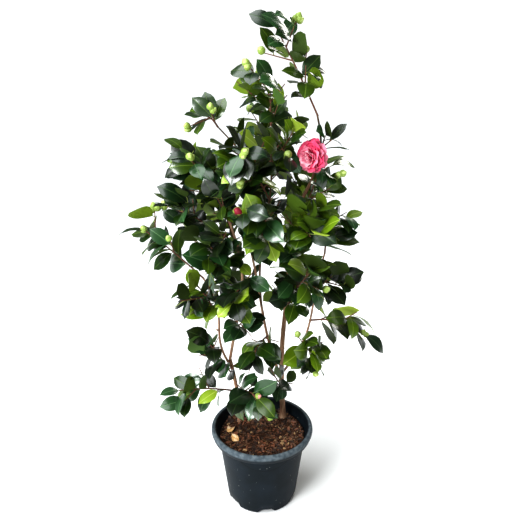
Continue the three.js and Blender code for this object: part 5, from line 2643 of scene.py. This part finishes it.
    def build_dry_leaves(self, kit: EffectKit) -> None:
        """Lays two small curled dry leaves near the left edge.

        Args:
            kit: The shared effects.
        """
        pattern, heap = LeafForm().model(), Heap()
        pattern.corners[:, 2] += self.leaf_curl * pattern.corners[:, 0] ** 2
        for x, y, turn, lean in self.leaves:
            rise = np.array([math.cos(turn), math.sin(turn), self.leaf_rise])
            out = unit(rise)
            face = turned(unit(UP - self.leaf_rise * rise), out, lean)
            base = np.array([x, y, self.soil.height(x, y) + self.leaf_lift])
            leaf = Leaf(base, out, face, np.cross(out, face), self.leaf_length)
            curled = LeafPose(bend=1.5, twist=1.3, wave=0.06, phase=turn, narrow=1.05)
            heap.add(posed(pattern.corners, leaf, curled), pattern.faces, pattern.finishes)
        finishes = [finish.material(kit) for finish in DRY_LEAF_FINISHES]
        heap.build("dry_leaves", finishes, "potting_soil")


# ------------------------------------------------------------------ studio


@dataclass(frozen=True)
class Lamp:
    """A soft light: where it stands and looks, its power and its tone."""

    name: str
    place: Point
    power: float
    tone: Point
    aim: Point = STILL
    size: float = 0.7  # side of the square light, or the sun's width in radians
    kind: str = "AREA"

    def build(self) -> None:
        """Adds the light."""
        lamp = bpy.data.lights.new(self.name, self.kind)
        lamp.energy = self.power
        lamp.color = self.tone
        setattr(lamp, "angle" if self.kind == "SUN" else "size", self.size)
        holder = bpy.data.objects.new(self.name, lamp)
        holder.location = self.place
        holder.rotation_euler = (Vector(self.aim) - Vector(self.place)).to_track_quat("-Z", "Y").to_euler()
        bpy.context.scene.collection.objects.link(holder)


@dataclass
class Studio:
    """A plain pale floor, soft light and a camera that looks a little down on the plant."""

    eye: Point = (0.0, -1.045, 0.954)
    pitch: float = math.radians(18.75)
    sensor: float = 36.0
    focal: float = 515 / 524 * 36.0  # the view is 524 wide at a distance of 515
    floor_size: float = 400.0
    floor_drop: float = 0.0003
    floor_tone: tuple[float, ...] = (0.92, 0.92, 0.92, 1.0)
    sky_tone: tuple[float, ...] = (0.93, 0.97, 1.0, 1.0)
    sky_strength: float = 0.115
    contrast: float = 0.84
    exposure: float = 0.2
    lamps: tuple[Lamp, ...] = (
        Lamp("overhead", (-0.40, -0.14, 1.0), 3.9, (0.95, 0.98, 1.0), size=math.radians(60), kind="SUN"),
        Lamp("key", (-1.2, -1.5, 1.15), 46.0, (0.96, 0.99, 1.0), aim=(0.0, 0.0, 0.5)),
        Lamp("fill", (1.4, -0.9, 1.5), 3.0, (1.0, 0.96, 0.84), aim=(0.0, 0.0, 0.8)),
        Lamp("back", (0.8, 1.7, 1.9), 16.0, (1.0, 0.98, 0.92), aim=(0.0, 0.0, 0.7), size=0.8),
    )

    def build(self) -> None:
        """Makes the floor, the world, the lights and the camera."""
        self.floor()
        self.sky()
        for lamp in self.lamps:
            lamp.build()
        self.camera()
        view = bpy.context.scene.view_settings
        view.view_transform = "Standard"
        view.gamma = self.contrast
        view.exposure = self.exposure

    def floor(self) -> None:
        """Lays the floor just below the pot."""
        deselect_all()
        bpy.ops.mesh.primitive_plane_add(size=self.floor_size, location=(0.0, 0.0, -self.floor_drop))
        floor = bpy.context.object
        floor.name = "studio_floor"
        paper = bpy.data.materials.new("paper")
        paper.use_nodes = True
        feed(paper.node_tree, paper.node_tree.nodes["Principled BSDF"], {
            "Base Color": self.floor_tone,
            "Roughness": 0.9,
            "Specular IOR Level": 0.2,
        })
        floor.data.materials.append(paper)

    def sky(self) -> None:
        """Makes the world: white behind the plant, and dimmer for the light that it gives."""
        world = bpy.data.worlds.new("soft_sky")
        world.use_nodes = True
        tree = world.node_tree
        glow = tree.nodes["Background"]
        feed(tree, glow, {"Color": self.sky_tone, "Strength": self.sky_strength})
        white = add_node(tree, "Background", {"Color": (1.0, 1.0, 1.0, 1.0)})
        mix = add_node(tree, "MixShader", {
            "Fac": add_node(tree, "LightPath", {}).outputs["Is Camera Ray"],
            1: glow.outputs["Background"],
            2: white.outputs["Background"],
        })
        feed(tree, tree.nodes["World Output"], {"Surface": mix.outputs["Shader"]})
        bpy.context.scene.world = world

    def camera(self) -> None:
        """Adds the camera."""
        lens = bpy.data.cameras.new("camera")
        lens.sensor_width = self.sensor
        lens.lens = self.focal
        holder = bpy.data.objects.new("camera", lens)
        holder.location = self.eye
        holder.rotation_euler = (math.pi / 2 - self.pitch, 0.0, 0.0)
        bpy.context.scene.collection.objects.link(holder)
        bpy.context.scene.camera = holder


# ------------------------------------------------------------------ the whole plant


def build_limbs(kit: EffectKit) -> dict[str, Limb]:
    """Builds the stems and boughs, each on the one before, and the stubs on them.

    Args:
        kit: The shared effects.

    Returns:
        The limbs, by name.
    """
    limbs: dict[str, Limb] = {}
    bark, young_bark = BARK.material(kit), YOUNG_BARK.material(kit)
    for plan in LIMBS:
        limbs[plan.name] = Limb(plan, limbs)
        limbs[plan.name].build(young_bark if plan.name in YOUNG_LIMBS else bark)
    Stubs().build(limbs, bark, CUT_WOOD.material(kit))
    return limbs


def main() -> None:
    """Builds the studio, the pot and the plant, in order."""
    logging.basicConfig(level=logging.INFO, format="%(name)s: %(message)s")
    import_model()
    kit = EffectKit()
    Studio().build()
    Pot().build(kit)
    soil = Soil()
    soil.build(kit)
    Litter(soil).build(kit)
    limbs = build_limbs(kit)
    bloom = Bloom(limbs)
    bloom.build(kit)
    foliage = Foliage(limbs, bloom, kit)
    foliage.grow()
    foliage.build()


if __name__ == "__main__":
    main()
